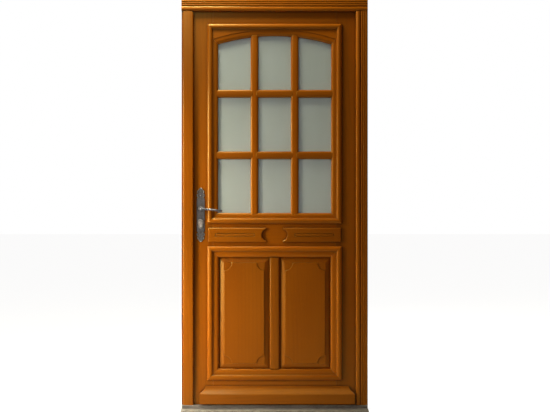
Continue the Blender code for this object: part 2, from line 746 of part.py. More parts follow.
def build_muntin(leaf):
    """Short upright between the panels, with rounded front edges and a groove each side."""
    radius = MUNTIN_ROUND
    front = MUNTIN_SET_BACK
    outline = arc((-MUNTIN_X + radius, front + radius), (radius, radius),
                  180, 270, QUARTER_FACETS)
    outline += arc((MUNTIN_X - radius, front + radius), (radius, radius),
                   270, 360, QUARTER_FACETS)
    outline += [(MUNTIN_X, LEAF_THICKNESS), (-MUNTIN_X, LEAF_THICKNESS)]
    low = PANEL_BOTTOM + FIT
    high = PANEL_TOP - FIT
    muntin = make_piece("lower_muntin", prism(outline, "Z", low, high),
                        wood("lower_muntin_wood"), leaf, smooth=35)
    wide = MUNTIN_X + OVERRUN
    for side in (-1, 1):
        ends = sorted((side * (MUNTIN_X - TONGUE_LENGTH), side * wide))
        cut(muntin, groove((ends[0], low - OVERRUN), (ends[1], high + OVERRUN)), "panel_groove")
    cover = PANEL_INNER_WIDTH + FIT
    cut(muntin, box((-wide, -OVERRUN, PANEL_TOP - cover), (wide, TONGUE_FACE, PANEL_TOP)),
        "upper_housing")
    cut(muntin, box((-wide, -OVERRUN, PANEL_BOTTOM), (wide, TONGUE_FACE, PANEL_BOTTOM + cover)),
        "lower_housing")
    join(muntin, muntin_tenon(PANEL_TOP, 1, 0), "upper_tenon")
    join(muntin, muntin_tenon(PANEL_BOTTOM, -1, 0), "lower_tenon")


def rectangle(low, high, inset=0):
    """Corners of a rectangle, moved inwards by the inset."""
    return [(low[0] + inset, low[1] + inset), (high[0] - inset, low[1] + inset),
            (high[0] - inset, high[1] - inset), (low[0] + inset, high[1] - inset)]


def at_depth(outline, depth):
    """An outline in the plane of the door, as points at one depth."""
    return [Vector((across, depth, up)) for across, up in outline]


def scalloped(low, high, inset=0):
    """Rectangle whose corners are hollowed by quarter circles."""
    radius = SCALLOP_RADIUS + inset
    corners = rectangle(low, high)
    points = []
    for corner, start in zip(corners, (90, 180, 270, 0)):
        points += arc(corner, (radius, radius), start, start - 90, QUARTER_FACETS)
    low_edge = (low[0] + inset, low[1] + inset)
    high_edge = (high[0] - inset, high[1] - inset)
    return [(min(max(a, low_edge[0]), high_edge[0]), min(max(b, low_edge[1]), high_edge[1]))
            for a, b in points]


def build_panel(name, side, leaf):
    """Raised panel: tongue, bevel, and a field whose corners are scalloped."""
    edges = sorted((side * (OPENING_X + TONGUE_LENGTH - TONGUE_SLACK),
                    side * (MUNTIN_X - TONGUE_LENGTH + TONGUE_SLACK)))
    reach = TONGUE_LENGTH - TONGUE_SLACK
    tongue = ((edges[0], PANEL_BOTTOM - reach), (edges[1], PANEL_TOP + reach))
    sight = sorted((side * (OPENING_X - PANEL_INNER_WIDTH), side * MUNTIN_X))
    foot = ((sight[0], PANEL_BOTTOM + PANEL_INNER_WIDTH), (sight[1], PANEL_TOP - PANEL_INNER_WIDTH))
    back = TONGUE_FACE + TONGUE_THICKNESS
    step = TONGUE_FACE - BEVEL_RISE
    rings = [at_depth(rectangle(*foot, BEVEL_WIDTH), back + BACK_RISE),
             at_depth(rectangle(*foot), back), at_depth(rectangle(*tongue), back),
             at_depth(rectangle(*tongue), TONGUE_FACE), at_depth(rectangle(*foot), TONGUE_FACE),
             at_depth(rectangle(*foot, BEVEL_WIDTH - FIELD_ARRIS), step)]
    panel = make_piece(name, loft(rings), wood(name + "_wood"), leaf)
    field = ((foot[0][0] + BEVEL_WIDTH, foot[0][1] + BEVEL_WIDTH),
             (foot[1][0] - BEVEL_WIDTH, foot[1][1] - BEVEL_WIDTH))
    face = step - FIELD_RISE
    rings = [at_depth(scalloped(*field), step + FIELD_RISE),
             at_depth(scalloped(*field), face + FIELD_ARRIS),
             at_depth(scalloped(*field, FIELD_ARRIS), face)]
    join(panel, loft(rings), "field")


def bead_profile():
    """Outer part of a planted moulding: distance from its outer edge, and depth."""
    crown = BEAD_WIDTH * BEAD_CROWN_SHARE
    points = [(0, -FIT)]
    points += arc((crown, -BEAD_EDGE), (crown, BEAD_HEIGHT - BEAD_EDGE), 180, 270, QUARTER_FACETS)
    fall = BEAD_WIDTH - QUIRK_WIDTH - crown
    points += arc((crown, -QUIRK_HEIGHT), (fall, BEAD_HEIGHT - QUIRK_HEIGHT),
                  270, 360, QUARTER_FACETS)[1:]
    return points + [(BEAD_WIDTH, -QUIRK_HEIGHT)]


def inner_profile(width):
    """Inner part, from the quirk down to the sight edge, as shares of its width and depths."""
    points = [(QUIRK_WIDTH / 2 / width, -FILLET_HEIGHT)]
    points += arc((FILLET_SHARE, OVOLO_DROP - FILLET_HEIGHT), (1 - FILLET_SHARE, OVOLO_DROP),
                  270, 360, QUARTER_FACETS)
    return points


def full_profile(width):
    """Closed section of a side or bottom moulding, whose back steps down to the glass."""
    back = GLASS_FACE - FIT
    inner = [(BEAD_WIDTH + share * width, depth) for share, depth in inner_profile(width)]
    end = BEAD_WIDTH + width
    return bead_profile() + inner + [(end, back), (BEAD_WIDTH + FIT, back),
                                     (BEAD_WIDTH + FIT, -FIT)]


def run(profile, axis, edge, inward, start, end, start_mitre=1, end_mitre=1):
    """Sweep a section along one side of a rectangle, with mitred ends."""
    rings = []
    for place, mitre in ((start, start_mitre), (end, -end_mitre)):
        ring = []
        for across, depth in profile:
            along = place + mitre * (across + FIT)
            side = edge + inward * across
            ring.append(Vector((along, depth, side) if axis == "X" else (side, depth, along)))
        rings.append(ring)
    return loft(rings)


def build_light_mouldings(leaf):
    """Moulding planted round the glass: two sides, the bottom, and a bead along the top."""
    edge = OPENING_X + BEAD_WIDTH
    low = LIGHT_BOTTOM - BEAD_WIDTH
    high = LIGHT_TOP + BEAD_WIDTH
    section = full_profile(LIGHT_INNER_WIDTH)
    for name, side in (("left_light_moulding", -1), ("right_light_moulding", 1)):
        piece = make_piece(name, run(section, "Z", side * edge, -side, low, high),
                           wood(name + "_wood"), leaf, smooth=35)
        cut(piece, springing_cutter(side), "springing")
    make_piece("bottom_light_moulding", run(section, "X", low, 1, -edge, edge),
               wood("bottom_light_moulding_wood"), leaf, smooth=35)
    section = bead_profile() + [(BEAD_WIDTH, -FIT)]
    make_piece("top_light_bead", run(section, "X", high, -1, -edge, edge),
               wood("top_light_bead_wood"), leaf, smooth=35)


def build_panel_mouldings(leaf):
    """Moulding planted round the two panels."""
    edge = OPENING_X + BEAD_WIDTH
    low = PANEL_BOTTOM - BEAD_WIDTH
    high = PANEL_TOP + BEAD_WIDTH
    section = full_profile(PANEL_INNER_WIDTH)
    places = (("left_panel_moulding", "Z", -edge, 1, low, high),
              ("right_panel_moulding", "Z", edge, -1, low, high),
              ("lower_panel_moulding", "X", low, 1, -edge, edge),
              ("upper_panel_moulding", "X", high, -1, -edge, edge))
    for name, axis, place, inward, start, end in places:
        make_piece(name, run(section, axis, place, inward, start, end),
                   wood(name + "_wood"), leaf, smooth=35)


def arch_height(radius, across):
    """Height of an arc round the arch's centre, at a place across the door."""
    return ARCH_CENTRE + math.sqrt(radius * radius - across * across)


def springing_line():
    """Outer and inner end of the mitre where the arch meets the right-hand side."""
    outer = (OPENING_X, arch_height(ARCH_RADIUS + ARCH_PROFILE_WIDTH, OPENING_X))
    inner = (LIGHT_SIGHT_X, arch_height(ARCH_RADIUS, LIGHT_SIGHT_X))
    return Vector(outer), Vector(inner)


def springing_height(across):
    """Height of the springing mitre at a distance from the door's middle."""
    outer, inner = springing_line()
    return outer.y + (inner.y - outer.y) * (outer.x - across) / (outer.x - inner.x)


def springing_cutter(side):
    """Space above the springing mitre, inside the side's bead."""
    past = LIGHT_SIGHT_X - BEAD_WIDTH
    outline = [(side * OPENING_X, springing_height(OPENING_X) - FIT),
               (side * past, springing_height(past) - FIT),
               (side * past, LIGHT_TOP + BEAD_WIDTH), (side * OPENING_X, LIGHT_TOP + BEAD_WIDTH)]
    return prism(outline, "Y", -BEAD_HEIGHT - OVERRUN, GLASS_FACE + OVERRUN)


def springing_reach(radius):
    """Distance from the middle at which an arc of the arch meets the springing mitre."""
    outer, inner = springing_line()
    centre = Vector((0, ARCH_CENTRE))
    along = inner - outer
    away = outer - centre
    a = along.dot(along)
    b = 2 * along.dot(away)
    c = away.dot(away) - radius * radius
    part = (-b - math.sqrt(b * b - 4 * a * c)) / (2 * a)
    return outer.x + part * along.x - FIT


def arched_board(section):
    """Board with a straight top and an arched lower edge, moulded along the arch.

    The section lists a radius and a depth for each point; the top edge has no radius.
    """
    rings = []
    for facet in range(ARCH_FACETS + 1):
        share = 2 * facet / ARCH_FACETS - 1
        ring = []
        for radius, depth in section:
            if radius is None:
                ring.append(Vector((share * (OPENING_X - FIT), depth, LIGHT_TOP - FIT)))
            else:
                across = share * springing_reach(radius)
                ring.append(Vector((across, depth, arch_height(radius, across))))
        rings.append(ring)
    return loft(rings)


def build_arched_boards(leaf):
    """Spandrel boards above the glass, one outside and one inside."""
    outer_radius = ARCH_RADIUS + ARCH_PROFILE_WIDTH
    back = GLASS_FACE - FIT
    section = [(None, back), (None, -QUIRK_HEIGHT), (outer_radius, -QUIRK_HEIGHT)]
    section += [(outer_radius - share * ARCH_PROFILE_WIDTH, depth)
                for share, depth in inner_profile(ARCH_PROFILE_WIDTH)]
    section.append((ARCH_RADIUS, back))
    make_piece("arched_spandrel", arched_board(section), wood("arched_spandrel_wood"),
               leaf, smooth=35)
    near = INNER_GLASS_BACK + FIT
    section = [(None, near), (None, LEAF_THICKNESS)]
    section += [(outer_radius - share * ARCH_PROFILE_WIDTH, depth)
                for share, depth in inner_bead_profile()]
    section.append((ARCH_RADIUS, near))
    make_piece("inner_arched_bead", arched_board(section), wood("inner_arched_bead_wood"),
               leaf, smooth=35)


def inner_bead_profile():
    """Rounded face of the glazing beads inside, as shares of their width and depths."""
    drop = inner_bead_drop()
    return arc((FILLET_SHARE, LEAF_THICKNESS - drop), (1 - FILLET_SHARE, drop),
               90, 0, QUARTER_FACETS)


def inner_bead_drop():
    """Height of the rounding of the glazing beads inside."""
    return LEAF_THICKNESS - INNER_GLASS_BACK - INNER_BEAD_SIGHT


def build_inner_beads(leaf):
    """Glazing beads that hold the glass from inside."""
    near = INNER_GLASS_BACK + FIT
    width = LIGHT_INNER_WIDTH
    section = [(FIT, near), (FIT, LEAF_THICKNESS)]
    section += [(share * width, depth) for share, depth in inner_bead_profile()]
    section.append((width, near))
    make_piece("inner_bottom_bead", run(section, "X", LIGHT_BOTTOM, 1, -OPENING_X, OPENING_X),
               wood("inner_bottom_bead_wood"), leaf, smooth=35)
    for name, side in (("inner_left_bead", -1), ("inner_right_bead", 1)):
        foot = [Vector((side * (OPENING_X - across), depth, LIGHT_BOTTOM + across + FIT))
                for across, depth in section]
        top = [Vector((side * (OPENING_X - across), depth,
                       springing_height(OPENING_X - across) - FIT))
               for across, depth in section]
        make_piece(name, loft([foot, top]), wood(name + "_wood"), leaf, smooth=35)


def build_glass(leaf):
    """Sealed unit: two frosted panes and the spacer between their edges."""
    low = (-OPENING_X + GLASS_EDGE_GAP, LIGHT_BOTTOM + GLASS_EDGE_GAP)
    high = (OPENING_X - GLASS_EDGE_GAP, LIGHT_TOP - GLASS_EDGE_GAP)
    for name, near, far in (("outer_pane", GLASS_FACE, GLASS_BACK),
                            ("inner_pane", INNER_GLASS_FACE, INNER_GLASS_BACK)):
        material = make_material(name + "_glass", GLASS, 0.25, 0.0)
        make_piece(name, box((low[0], near, low[1]), (high[0], far, high[1])), material, leaf)
    rings = []
    for inset in (SPACER_EDGE_GAP, SPACER_EDGE_GAP + SPACER_WIDTH):
        rings.append(rectangle(low, high, inset))
    depths = (GLASS_BACK + FIT, INNER_GLASS_FACE - FIT)
    loops = [at_depth(rings[0], depths[0]), at_depth(rings[0], depths[1]),
             at_depth(rings[1], depths[1]), at_depth(rings[1], depths[0])]
    make_piece("glass_spacer", ring_solid(loops),
               make_material("spacer_aluminium", ALUMINIUM, 0.4, 1.0), leaf)


def ring_solid(loops):
    """Join closed loops one after another, and the last to the first."""
    mesh_data = bmesh.new()
    rows = [[mesh_data.verts.new(point) for point in loop] for loop in loops]
    for index, first in enumerate(rows):
        second = rows[(index + 1) % len(rows)]
        count = len(first)
        for place in range(count):
            after = (place + 1) % count
            mesh_data.faces.new((first[place], first[after], second[after], second[place]))
    return mesh_data


def bar_section():
    """Half-widths of a glazing bar and their heights above the glass."""
    face = BAR_FACE_WIDTH / 2
    across = BAR_WIDTH / 2 - face
    rise = BAR_HEIGHT - BAR_EDGE
    lap = math.asin((BAR_LAP - BAR_EDGE) / rise)
    turns = [0, lap]
    turns += [lap + (math.pi / 2 - lap) * step / BAR_STEPS for step in range(1, BAR_STEPS + 1)]
    section = [(BAR_WIDTH / 2, 0)]
    section += [(face + across * math.cos(t), BAR_EDGE + rise * math.sin(t)) for t in turns]
    return section


def glazing_side(outside):
    """Depth of the glass seat, outward direction, and shape of the moulding's edge there."""
    if outside:
        seat = GLASS_FACE - FIT
        sight = seat - (OVOLO_DROP - FILLET_HEIGHT)
        return seat, -1, sight, OVOLO_DROP
    seat = INNER_GLASS_BACK + FIT
    return seat, 1, INNER_BEAD_SIGHT - FIT, inner_bead_drop()


def edge_share(rise, sight, drop):
    """How far the moulding's edge reaches in at a height above the glass, as a share."""
    if rise <= sight:
        return 1
    lift = min((rise - sight) / drop, 1)
    return FILLET_SHARE + (1 - FILLET_SHARE) * math.sqrt(1 - lift * lift)


def ladder_loft(first, second):
    """Loft between two mirrored sections, whose ends are closed rung by rung."""
    mesh_data = bmesh.new()
    loops = [[mesh_data.verts.new(point) for point in ring] for ring in (first, second)]
    count = len(first)
    for index in range(count):
        after = (index + 1) % count
        mesh_data.faces.new((loops[0][index], loops[0][after], loops[1][after], loops[1][index]))
    for loop in loops:
        for rung in range(count // 2 - 1):
            mesh_data.faces.new((loop[rung], loop[rung + 1],
                                 loop[count - 2 - rung], loop[count - 1 - rung]))
    return mesh_data


def bar_places(low, high, count):
    """Middles of bars that divide a length into equal clear panes."""
    pane = (high - low - count * BAR_WIDTH) / (count + 1)
    return [low + (index + 1) * pane + (index + 0.5) * BAR_WIDTH for index in range(count)]


def upright_ring(middle, seat, outward, sight, drop, upper):
    """End of an upright bar, scribed to the moulding below or to the arch above."""
    ring = []
    for side, section in ((-1, bar_section()), (1, bar_section()[::-1])):
        for half, rise in section:
            share = edge_share(rise, sight, drop)
            across = middle + side * half
            if upper:
                radius = ARCH_RADIUS + (1 - share) * ARCH_PROFILE_WIDTH - 2 * FIT
                up = arch_height(radius, across)
            else:
                up = LIGHT_BOTTOM + share * LIGHT_INNER_WIDTH + FIT
            ring.append(Vector((across, seat + outward * rise, up)))
    return ring


def cross_ring(middle, seat, outward, sight, drop, hand):
    """End of a cross bar, scribed to the side moulding."""
    ring = []
    for side, section in ((-1, bar_section()), (1, bar_section()[::-1])):
        for half, rise in section:
            reach = OPENING_X - edge_share(rise, sight, drop) * LIGHT_INNER_WIDTH - FIT
            ring.append(Vector((hand * reach, seat + outward * rise, middle + side * half)))
    return ring


def lap_cutter(middle, seat, outward, low, high):
    """Upright bar's face, grown by the fit, which a cross bar's face is cut back to."""
    upper = [point for point in bar_section() if point[1] > BAR_LAP - FIT]
    base = upper[0]
    lap = base[1] - FIT
    points = [(base[0] + FIT, lap)] + [(half + FIT, rise) for half, rise in upper]
    points.append((upper[-1][0] + FIT, BAR_HEIGHT + OVERRUN))
    outline = [(middle - half, seat + outward * rise) for half, rise in points]
    outline += [(middle + half, seat + outward * rise) for half, rise in reversed(points)]
    return prism(outline, "Z", low, high)


def build_bars(leaf, outside):
    """Glazing bars on one side of the glass, halved where they cross."""
    seat, outward, sight, drop = glazing_side(outside)
    prefix = "outer" if outside else "inner"
    uprights = bar_places(-LIGHT_SIGHT_X, LIGHT_SIGHT_X, UPRIGHT_BAR_COUNT)
    crosses = bar_places(LIGHT_SIGHT_Z, ARCH_CROWN, CROSS_BAR_COUNT)
    reach = BAR_WIDTH / 2 + FIT
    for index, middle in enumerate(uprights):
        name = "%s_upright_bar_%d" % (prefix, index + 1)
        rings = [upright_ring(middle, seat, outward, sight, drop, upper)
                 for upper in (False, True)]
        bar = make_piece(name, ladder_loft(*rings), wood(name + "_wood"), leaf, smooth=35)
        for cross in crosses:
            depths = sorted((seat - outward * OVERRUN, seat + outward * BAR_LAP))
            notch = box((middle - reach, depths[0], cross - reach),
                        (middle + reach, depths[1], cross + reach))
            cut(bar, notch, "notch")
    for index, middle in enumerate(crosses):
        name = "%s_cross_bar_%d" % (prefix, index + 1)
        rings = [cross_ring(middle, seat, outward, sight, drop, hand) for hand in (-1, 1)]
        bar = make_piece(name, ladder_loft(*rings), wood(name + "_wood"), leaf, smooth=35)
        for upright in uprights:
            cut(bar, lap_cutter(upright, seat, outward, middle - reach, middle + reach), "notch")


def inset_outline(points, distance):
    """Move each side of an outline inwards, with mitred corners."""
    area = sum(a[0] * b[1] - b[0] * a[1] for a, b in zip(points, points[1:] + points[:1]))
    turn = 1 if area > 0 else -1
    moved = []
    count = len(points)
    for index, point in enumerate(points):
        before = Vector(point) - Vector(points[index - 1])
        after = Vector(points[(index + 1) % count]) - Vector(point)
        first = Vector((-before.y, before.x)).normalized() * turn
        second = Vector((-after.y, after.x)).normalized() * turn
        both = first + second
        both *= 2 / both.dot(both)
        place = Vector(point) + both * distance
        moved.append((place.x, place.y))
    return moved


def block_outline(side):
    """Block on the middle rail, whose end towards the middle is hollowed."""
    edge = BLOCK_OUTER_X
    end = BLOCK_INNER_X
    half = BLOCK_HEIGHT / 2
    points = [(edge, BLOCK_Z - half), (edge, BLOCK_Z + half), (end, BLOCK_Z + half)]
    points += arc((end, BLOCK_Z), (BLOCK_HOLLOW, half - BLOCK_HORN), 90, -90,
                  2 * QUARTER_FACETS)
    points.append((end, BLOCK_Z - half))
    return [(side * across, up) for across, up in points]


def build_blocks(leaf):
    """Raised blocks on the middle rail, each with a routed ring."""
    for name, side in (("left_block", -1), ("right_block", 1)):
        outline = block_outline(side)
        rings = [at_depth(outline, -FIT), at_depth(outline, -BLOCK_THICKNESS + BLOCK_ARRIS),
                 at_depth(inset_outline(outline, BLOCK_ARRIS), -BLOCK_THICKNESS)]
        block = make_piece(name, loft(rings), wood(name + "_wood"), leaf)
        ends = sorted((side * RING_OUTER_X, side * RING_INNER_X))
        low = (ends[0], BLOCK_Z - RING_HEIGHT / 2)
        high = (ends[1], BLOCK_Z + RING_HEIGHT / 2)
        out = RING_GROOVE * OVERRUN / RING_DEPTH / 2
        above = -BLOCK_THICKNESS - OVERRUN
        cut(block, ring_solid([at_depth(rectangle(low, high, -out), above),
                               at_depth(rectangle(low, high, RING_GROOVE / 2),
                                        -BLOCK_THICKNESS + RING_DEPTH),
                               at_depth(rectangle(low, high, RING_GROOVE + out), above)]),
            "ring")


def build_weatherboard(leaf):
    """Weatherboard on the bottom rail: upright face, hollow slope and hipped ends."""
    top = WEATHER_BOTTOM + WEATHER_HEIGHT
    shoulder = WEATHER_BOTTOM + WEATHER_FRONT_HEIGHT
    levels = [(WEATHER_BOTTOM, WEATHER_DEPTH - WEATHER_ARRIS),
              (WEATHER_BOTTOM + WEATHER_ARRIS, WEATHER_DEPTH),
              (shoulder - WEATHER_ARRIS, WEATHER_DEPTH),
              (shoulder, WEATHER_DEPTH - WEATHER_ARRIS)]
    for step in range(1, WEATHER_STEPS + 1):
        share = step / WEATHER_STEPS
        fall = (WEATHER_DEPTH - WEATHER_ARRIS - WEATHER_TOP_DEPTH) * share
        sweep = WEATHER_SWEEP * math.sin(math.pi * share)
        levels.append((shoulder + (top - shoulder) * share,
                       WEATHER_DEPTH - WEATHER_ARRIS - fall - sweep))
    rings = []
    for height, depth in levels:
        hip = WEATHER_DEPTH - depth
        left = -SIGHT_X + WEATHER_LEFT_GAP + hip
        right = SIGHT_X - WEATHER_RIGHT_GAP - hip
        rings.append([Vector((left, -FIT, height)), Vector((left, -depth, height)),
                      Vector((right, -depth, height)), Vector((right, -FIT, height))])
    board = make_piece("weatherboard", loft(rings), wood("weatherboard_wood"), leaf, smooth=35)
    front = -WEATHER_DEPTH + DRIP_SET_BACK
    cut(board, box((-FRAME_WIDTH / 2, front, WEATHER_BOTTOM - OVERRUN),
                   (FRAME_WIDTH / 2, front + DRIP_WIDTH, WEATHER_BOTTOM + DRIP_DEPTH)), "drip")


def euro_outline(grow=0):
    """Section of the lock cylinder: a round with a web below it."""
    radius = CYLINDER_RADIUS + grow
    web = CYLINDER_WEB / 2 + grow
    start = math.degrees(math.asin(web / radius)) - 90
    points = arc((SPINDLE_X, CYLINDER_Z), (radius, radius), start, 180 - start,
                 3 * QUARTER_FACETS)
    foot = CYLINDER_Z + CYLINDER_RADIUS - CYLINDER_TALL + CYLINDER_WEB / 2
    points += arc((SPINDLE_X, foot), (web, web), 180, 360, QUARTER_FACETS)
    return points


def case_box(slack):
    """The lock case, grown by the slack for its mortise."""
    front = LOCK_EDGE + FACEPLATE_THICKNESS + FIT
    start = front - slack * FACEPLATE_WIDTH / FIT if slack else front
    return box((start, LOCK_Y - CASE_THICKNESS / 2 - slack, SPINDLE_HEIGHT - CASE_BELOW - slack),
               (front + CASE_LENGTH + slack, LOCK_Y + CASE_THICKNESS / 2 + slack,
                SPINDLE_HEIGHT + CASE_ABOVE + slack))


def faceplate_box(slack):
    """The lock's faceplate, grown by the slack for its recess."""
    out = OVERRUN if slack else 0
    return box((LOCK_EDGE - out, LOCK_Y - FACEPLATE_WIDTH / 2 - slack,
                SPINDLE_HEIGHT - FACEPLATE_BELOW - slack),
               (LOCK_EDGE + FACEPLATE_THICKNESS + slack, LOCK_Y + FACEPLATE_WIDTH / 2 + slack,
                SPINDLE_HEIGHT + FACEPLATE_ABOVE + slack))


def bolt_channel(middle, tall, start, end):
    """Straight channel for a bolt along X."""
    return box((start, LOCK_Y - BOLT_Y - FIT, middle - tall / 2 - FIT),
               (end, LOCK_Y + BOLT_Y + FIT, middle + tall / 2 + FIT))


def build_lock_stile(leaf):
    """Stile that holds the lock, mortised and bored for it."""
    stile = build_stile("lock_stile", -1, leaf, WOOD)
    cut(stile, faceplate_box(FIT), "faceplate_recess")
    cut(stile, case_box(FIT), "case_mortise")
    cut(stile, rod((SPINDLE_X, SPINDLE_HEIGHT), SPINDLE_BORE_RADIUS, "Y",
                   -OVERRUN, LEAF_THICKNESS + OVERRUN), "spindle_bore")
    cut(stile, prism(euro_outline(2 * FIT), "Y", -OVERRUN, LEAF_THICKNESS + OVERRUN),
        "cylinder_bore")


def build_lock(leaf):
    """Mortise lock: case and faceplate, with channels for the bolts and a space for the cam."""
    case = make_piece("lock_case", case_box(0), steel("lock_case_steel"), leaf)
    face = make_piece("lock_faceplate", faceplate_box(0), steel("faceplate_steel"), leaf)
    front = LOCK_EDGE - OVERRUN
    latch_end = LOCK_EDGE + LATCH_LENGTH + CHANNEL_SLACK
    bolt_end = LOCK_EDGE + DEADBOLT_LENGTH + CHANNEL_SLACK
    for piece in (case, face):
        cut(piece, bolt_channel(LATCH_Z, LATCH_HEIGHT, front, latch_end), "latch_channel")
        cut(piece, bolt_channel(DEADBOLT_Z, DEADBOLT_HEIGHT, front, bolt_end), "bolt_channel")
    past = CASE_THICKNESS / 2 + OVERRUN
    cut(case, rod((SPINDLE_X, SPINDLE_HEIGHT), FOLLOWER_RADIUS, "Y", LOCK_Y - past,
                  LOCK_Y + past), "follower_bore")
    cut(case, prism(euro_outline(FIT), "Y", LOCK_Y - past, LOCK_Y + past), "cylinder_bore")
    half = CAM_THICKNESS / 2 + CAM_CLEARANCE
    cut(case, rod((SPINDLE_X, CYLINDER_Z), CAM_REACH + 2 * CAM_CLEARANCE, "Y",
                  LOCK_Y - half, LOCK_Y + half), "cam_space")


def build_bolts(latch, deadbolt):
    """Bevelled latch, shot at rest, and the deadbolt, drawn back at rest."""
    tip = LOCK_EDGE - LATCH_THROW
    tail = tip + LATCH_LENGTH
    outline = [(tip, LOCK_Y + BOLT_Y), (tail, LOCK_Y + BOLT_Y), (tail, LOCK_Y - BOLT_Y),
               (LOCK_EDGE - LATCH_NOSE, LOCK_Y - BOLT_Y), (tip, LOCK_Y + BOLT_Y - LATCH_NOSE)]
    make_piece("latch_bolt", prism(outline, "Z", LATCH_Z - LATCH_HEIGHT / 2,
                                   LATCH_Z + LATCH_HEIGHT / 2),
               steel("latch_steel"), latch, (tip, LOCK_Y, LATCH_Z))
    tip = LOCK_EDGE + FIT
    make_piece("deadbolt", box((tip, LOCK_Y - BOLT_Y, DEADBOLT_Z - DEADBOLT_HEIGHT / 2),
                               (tip + DEADBOLT_LENGTH, LOCK_Y + BOLT_Y,
                                DEADBOLT_Z + DEADBOLT_HEIGHT / 2)),
               steel("deadbolt_steel"), deadbolt, (tip, LOCK_Y, DEADBOLT_Z))


def build_cylinder(leaf, plug):
    """Profile cylinder, and the plug with its cam that turns in it."""
    reach = PLATE_THICKNESS + CYLINDER_PROUD
    nickel = make_material("cylinder_nickel", NICKEL, 0.3, 1.0)
    body = make_piece("cylinder_body", prism(euro_outline(), "Y", -reach,
                                             LEAF_THICKNESS + reach), nickel, leaf, smooth=35)
    centre = (SPINDLE_X, CYLINDER_Z)
    cut(body, rod(centre, round_clear(PLUG_RADIUS, ROUND_FACETS), "Y", -reach - OVERRUN,
                  LEAF_THICKNESS + reach + OVERRUN), "plug_bore")
    half = CAM_THICKNESS / 2 + CAM_CLEARANCE
    wide = CYLINDER_RADIUS + OVERRUN
    cut(body, box((SPINDLE_X - wide, LOCK_Y - half, CYLINDER_Z - CAM_REACH - CAM_CLEARANCE),
                  (SPINDLE_X + wide, LOCK_Y + half, CYLINDER_Z + wide)), "cam_slot")
    turning = make_piece("cylinder_plug", rod(centre, PLUG_RADIUS, "Y", -reach - PLUG_PROUD,
                                              LEAF_THICKNESS + reach + PLUG_PROUD),
                         nickel.copy(), plug, (SPINDLE_X, LOCK_Y, CYLINDER_Z), smooth=35)
    half = CAM_THICKNESS / 2
    cut_width = CAM_WIDTH / 2
    lobe = math.sqrt(CAM_REACH * CAM_REACH - cut_width * cut_width)
    join(turning, box((SPINDLE_X - cut_width, LOCK_Y - half, CYLINDER_Z - lobe),
                      (SPINDLE_X + cut_width, LOCK_Y + half, CYLINDER_Z)), "cam")
    for face, side in ((-reach - PLUG_PROUD, 1), (LEAF_THICKNESS + reach + PLUG_PROUD, -1)):
        ends = sorted((face - side * OVERRUN, face + side * KEYWAY_DEPTH))
        cut(turning, box((SPINDLE_X - KEYWAY_WIDTH / 2, ends[0], CYLINDER_Z - KEYWAY_HEIGHT / 2),
                         (SPINDLE_X + KEYWAY_WIDTH / 2, ends[1],
                          CYLINDER_Z + KEYWAY_HEIGHT / 2)), "keyway")


# Outline of a backplate's end: shares of half its width, and of the end's height
PLATE_END_SHARES = ((1.00, 0.00), (0.90, 0.04), (0.74, 0.06), (0.72, 0.12), (0.88, 0.17),
                    (1.00, 0.26), (0.99, 0.38), (0.86, 0.46), (0.64, 0.50), (0.82, 0.55),
                    (0.90, 0.64), (0.84, 0.74), (0.66, 0.80), (0.48, 0.79), (0.46, 0.90),
                    (0.26, 0.98), (0.10, 1.00))
PIERCING_SHARES = ((0.52, 0.30), (0.48, 0.62))


def plate_outline():
    """Backplate with lobed ends, in the plane of the door."""
    top = SPINDLE_HEIGHT + PLATE_ABOVE
    bottom = top - PLATE_HEIGHT
    half = PLATE_WIDTH / 2
    right = [(share * half, top - (1 - rise) * PLATE_LOBE_HEIGHT)
             for share, rise in PLATE_END_SHARES]
    lower = [(share * half, bottom + (1 - rise) * PLATE_LOBE_HEIGHT)
             for share, rise in reversed(PLATE_END_SHARES)]
    side = lower + right
    return ([(SPINDLE_X + across, up) for across, up in side]
            + [(SPINDLE_X - across, up) for across, up in reversed(side)])


def piercings():
    """Middles of the small holes in the backplate's ends."""
    top = SPINDLE_HEIGHT + PLATE_ABOVE
    places = []
    for across, rise in PIERCING_SHARES:
        inward = (1 - rise) * PLATE_LOBE_HEIGHT
        for side in (-1, 1):
            place = SPINDLE_X + side * across * PLATE_WIDTH / 2
            places += [(place, top - inward), (place, top - PLATE_HEIGHT + inward)]
    return places


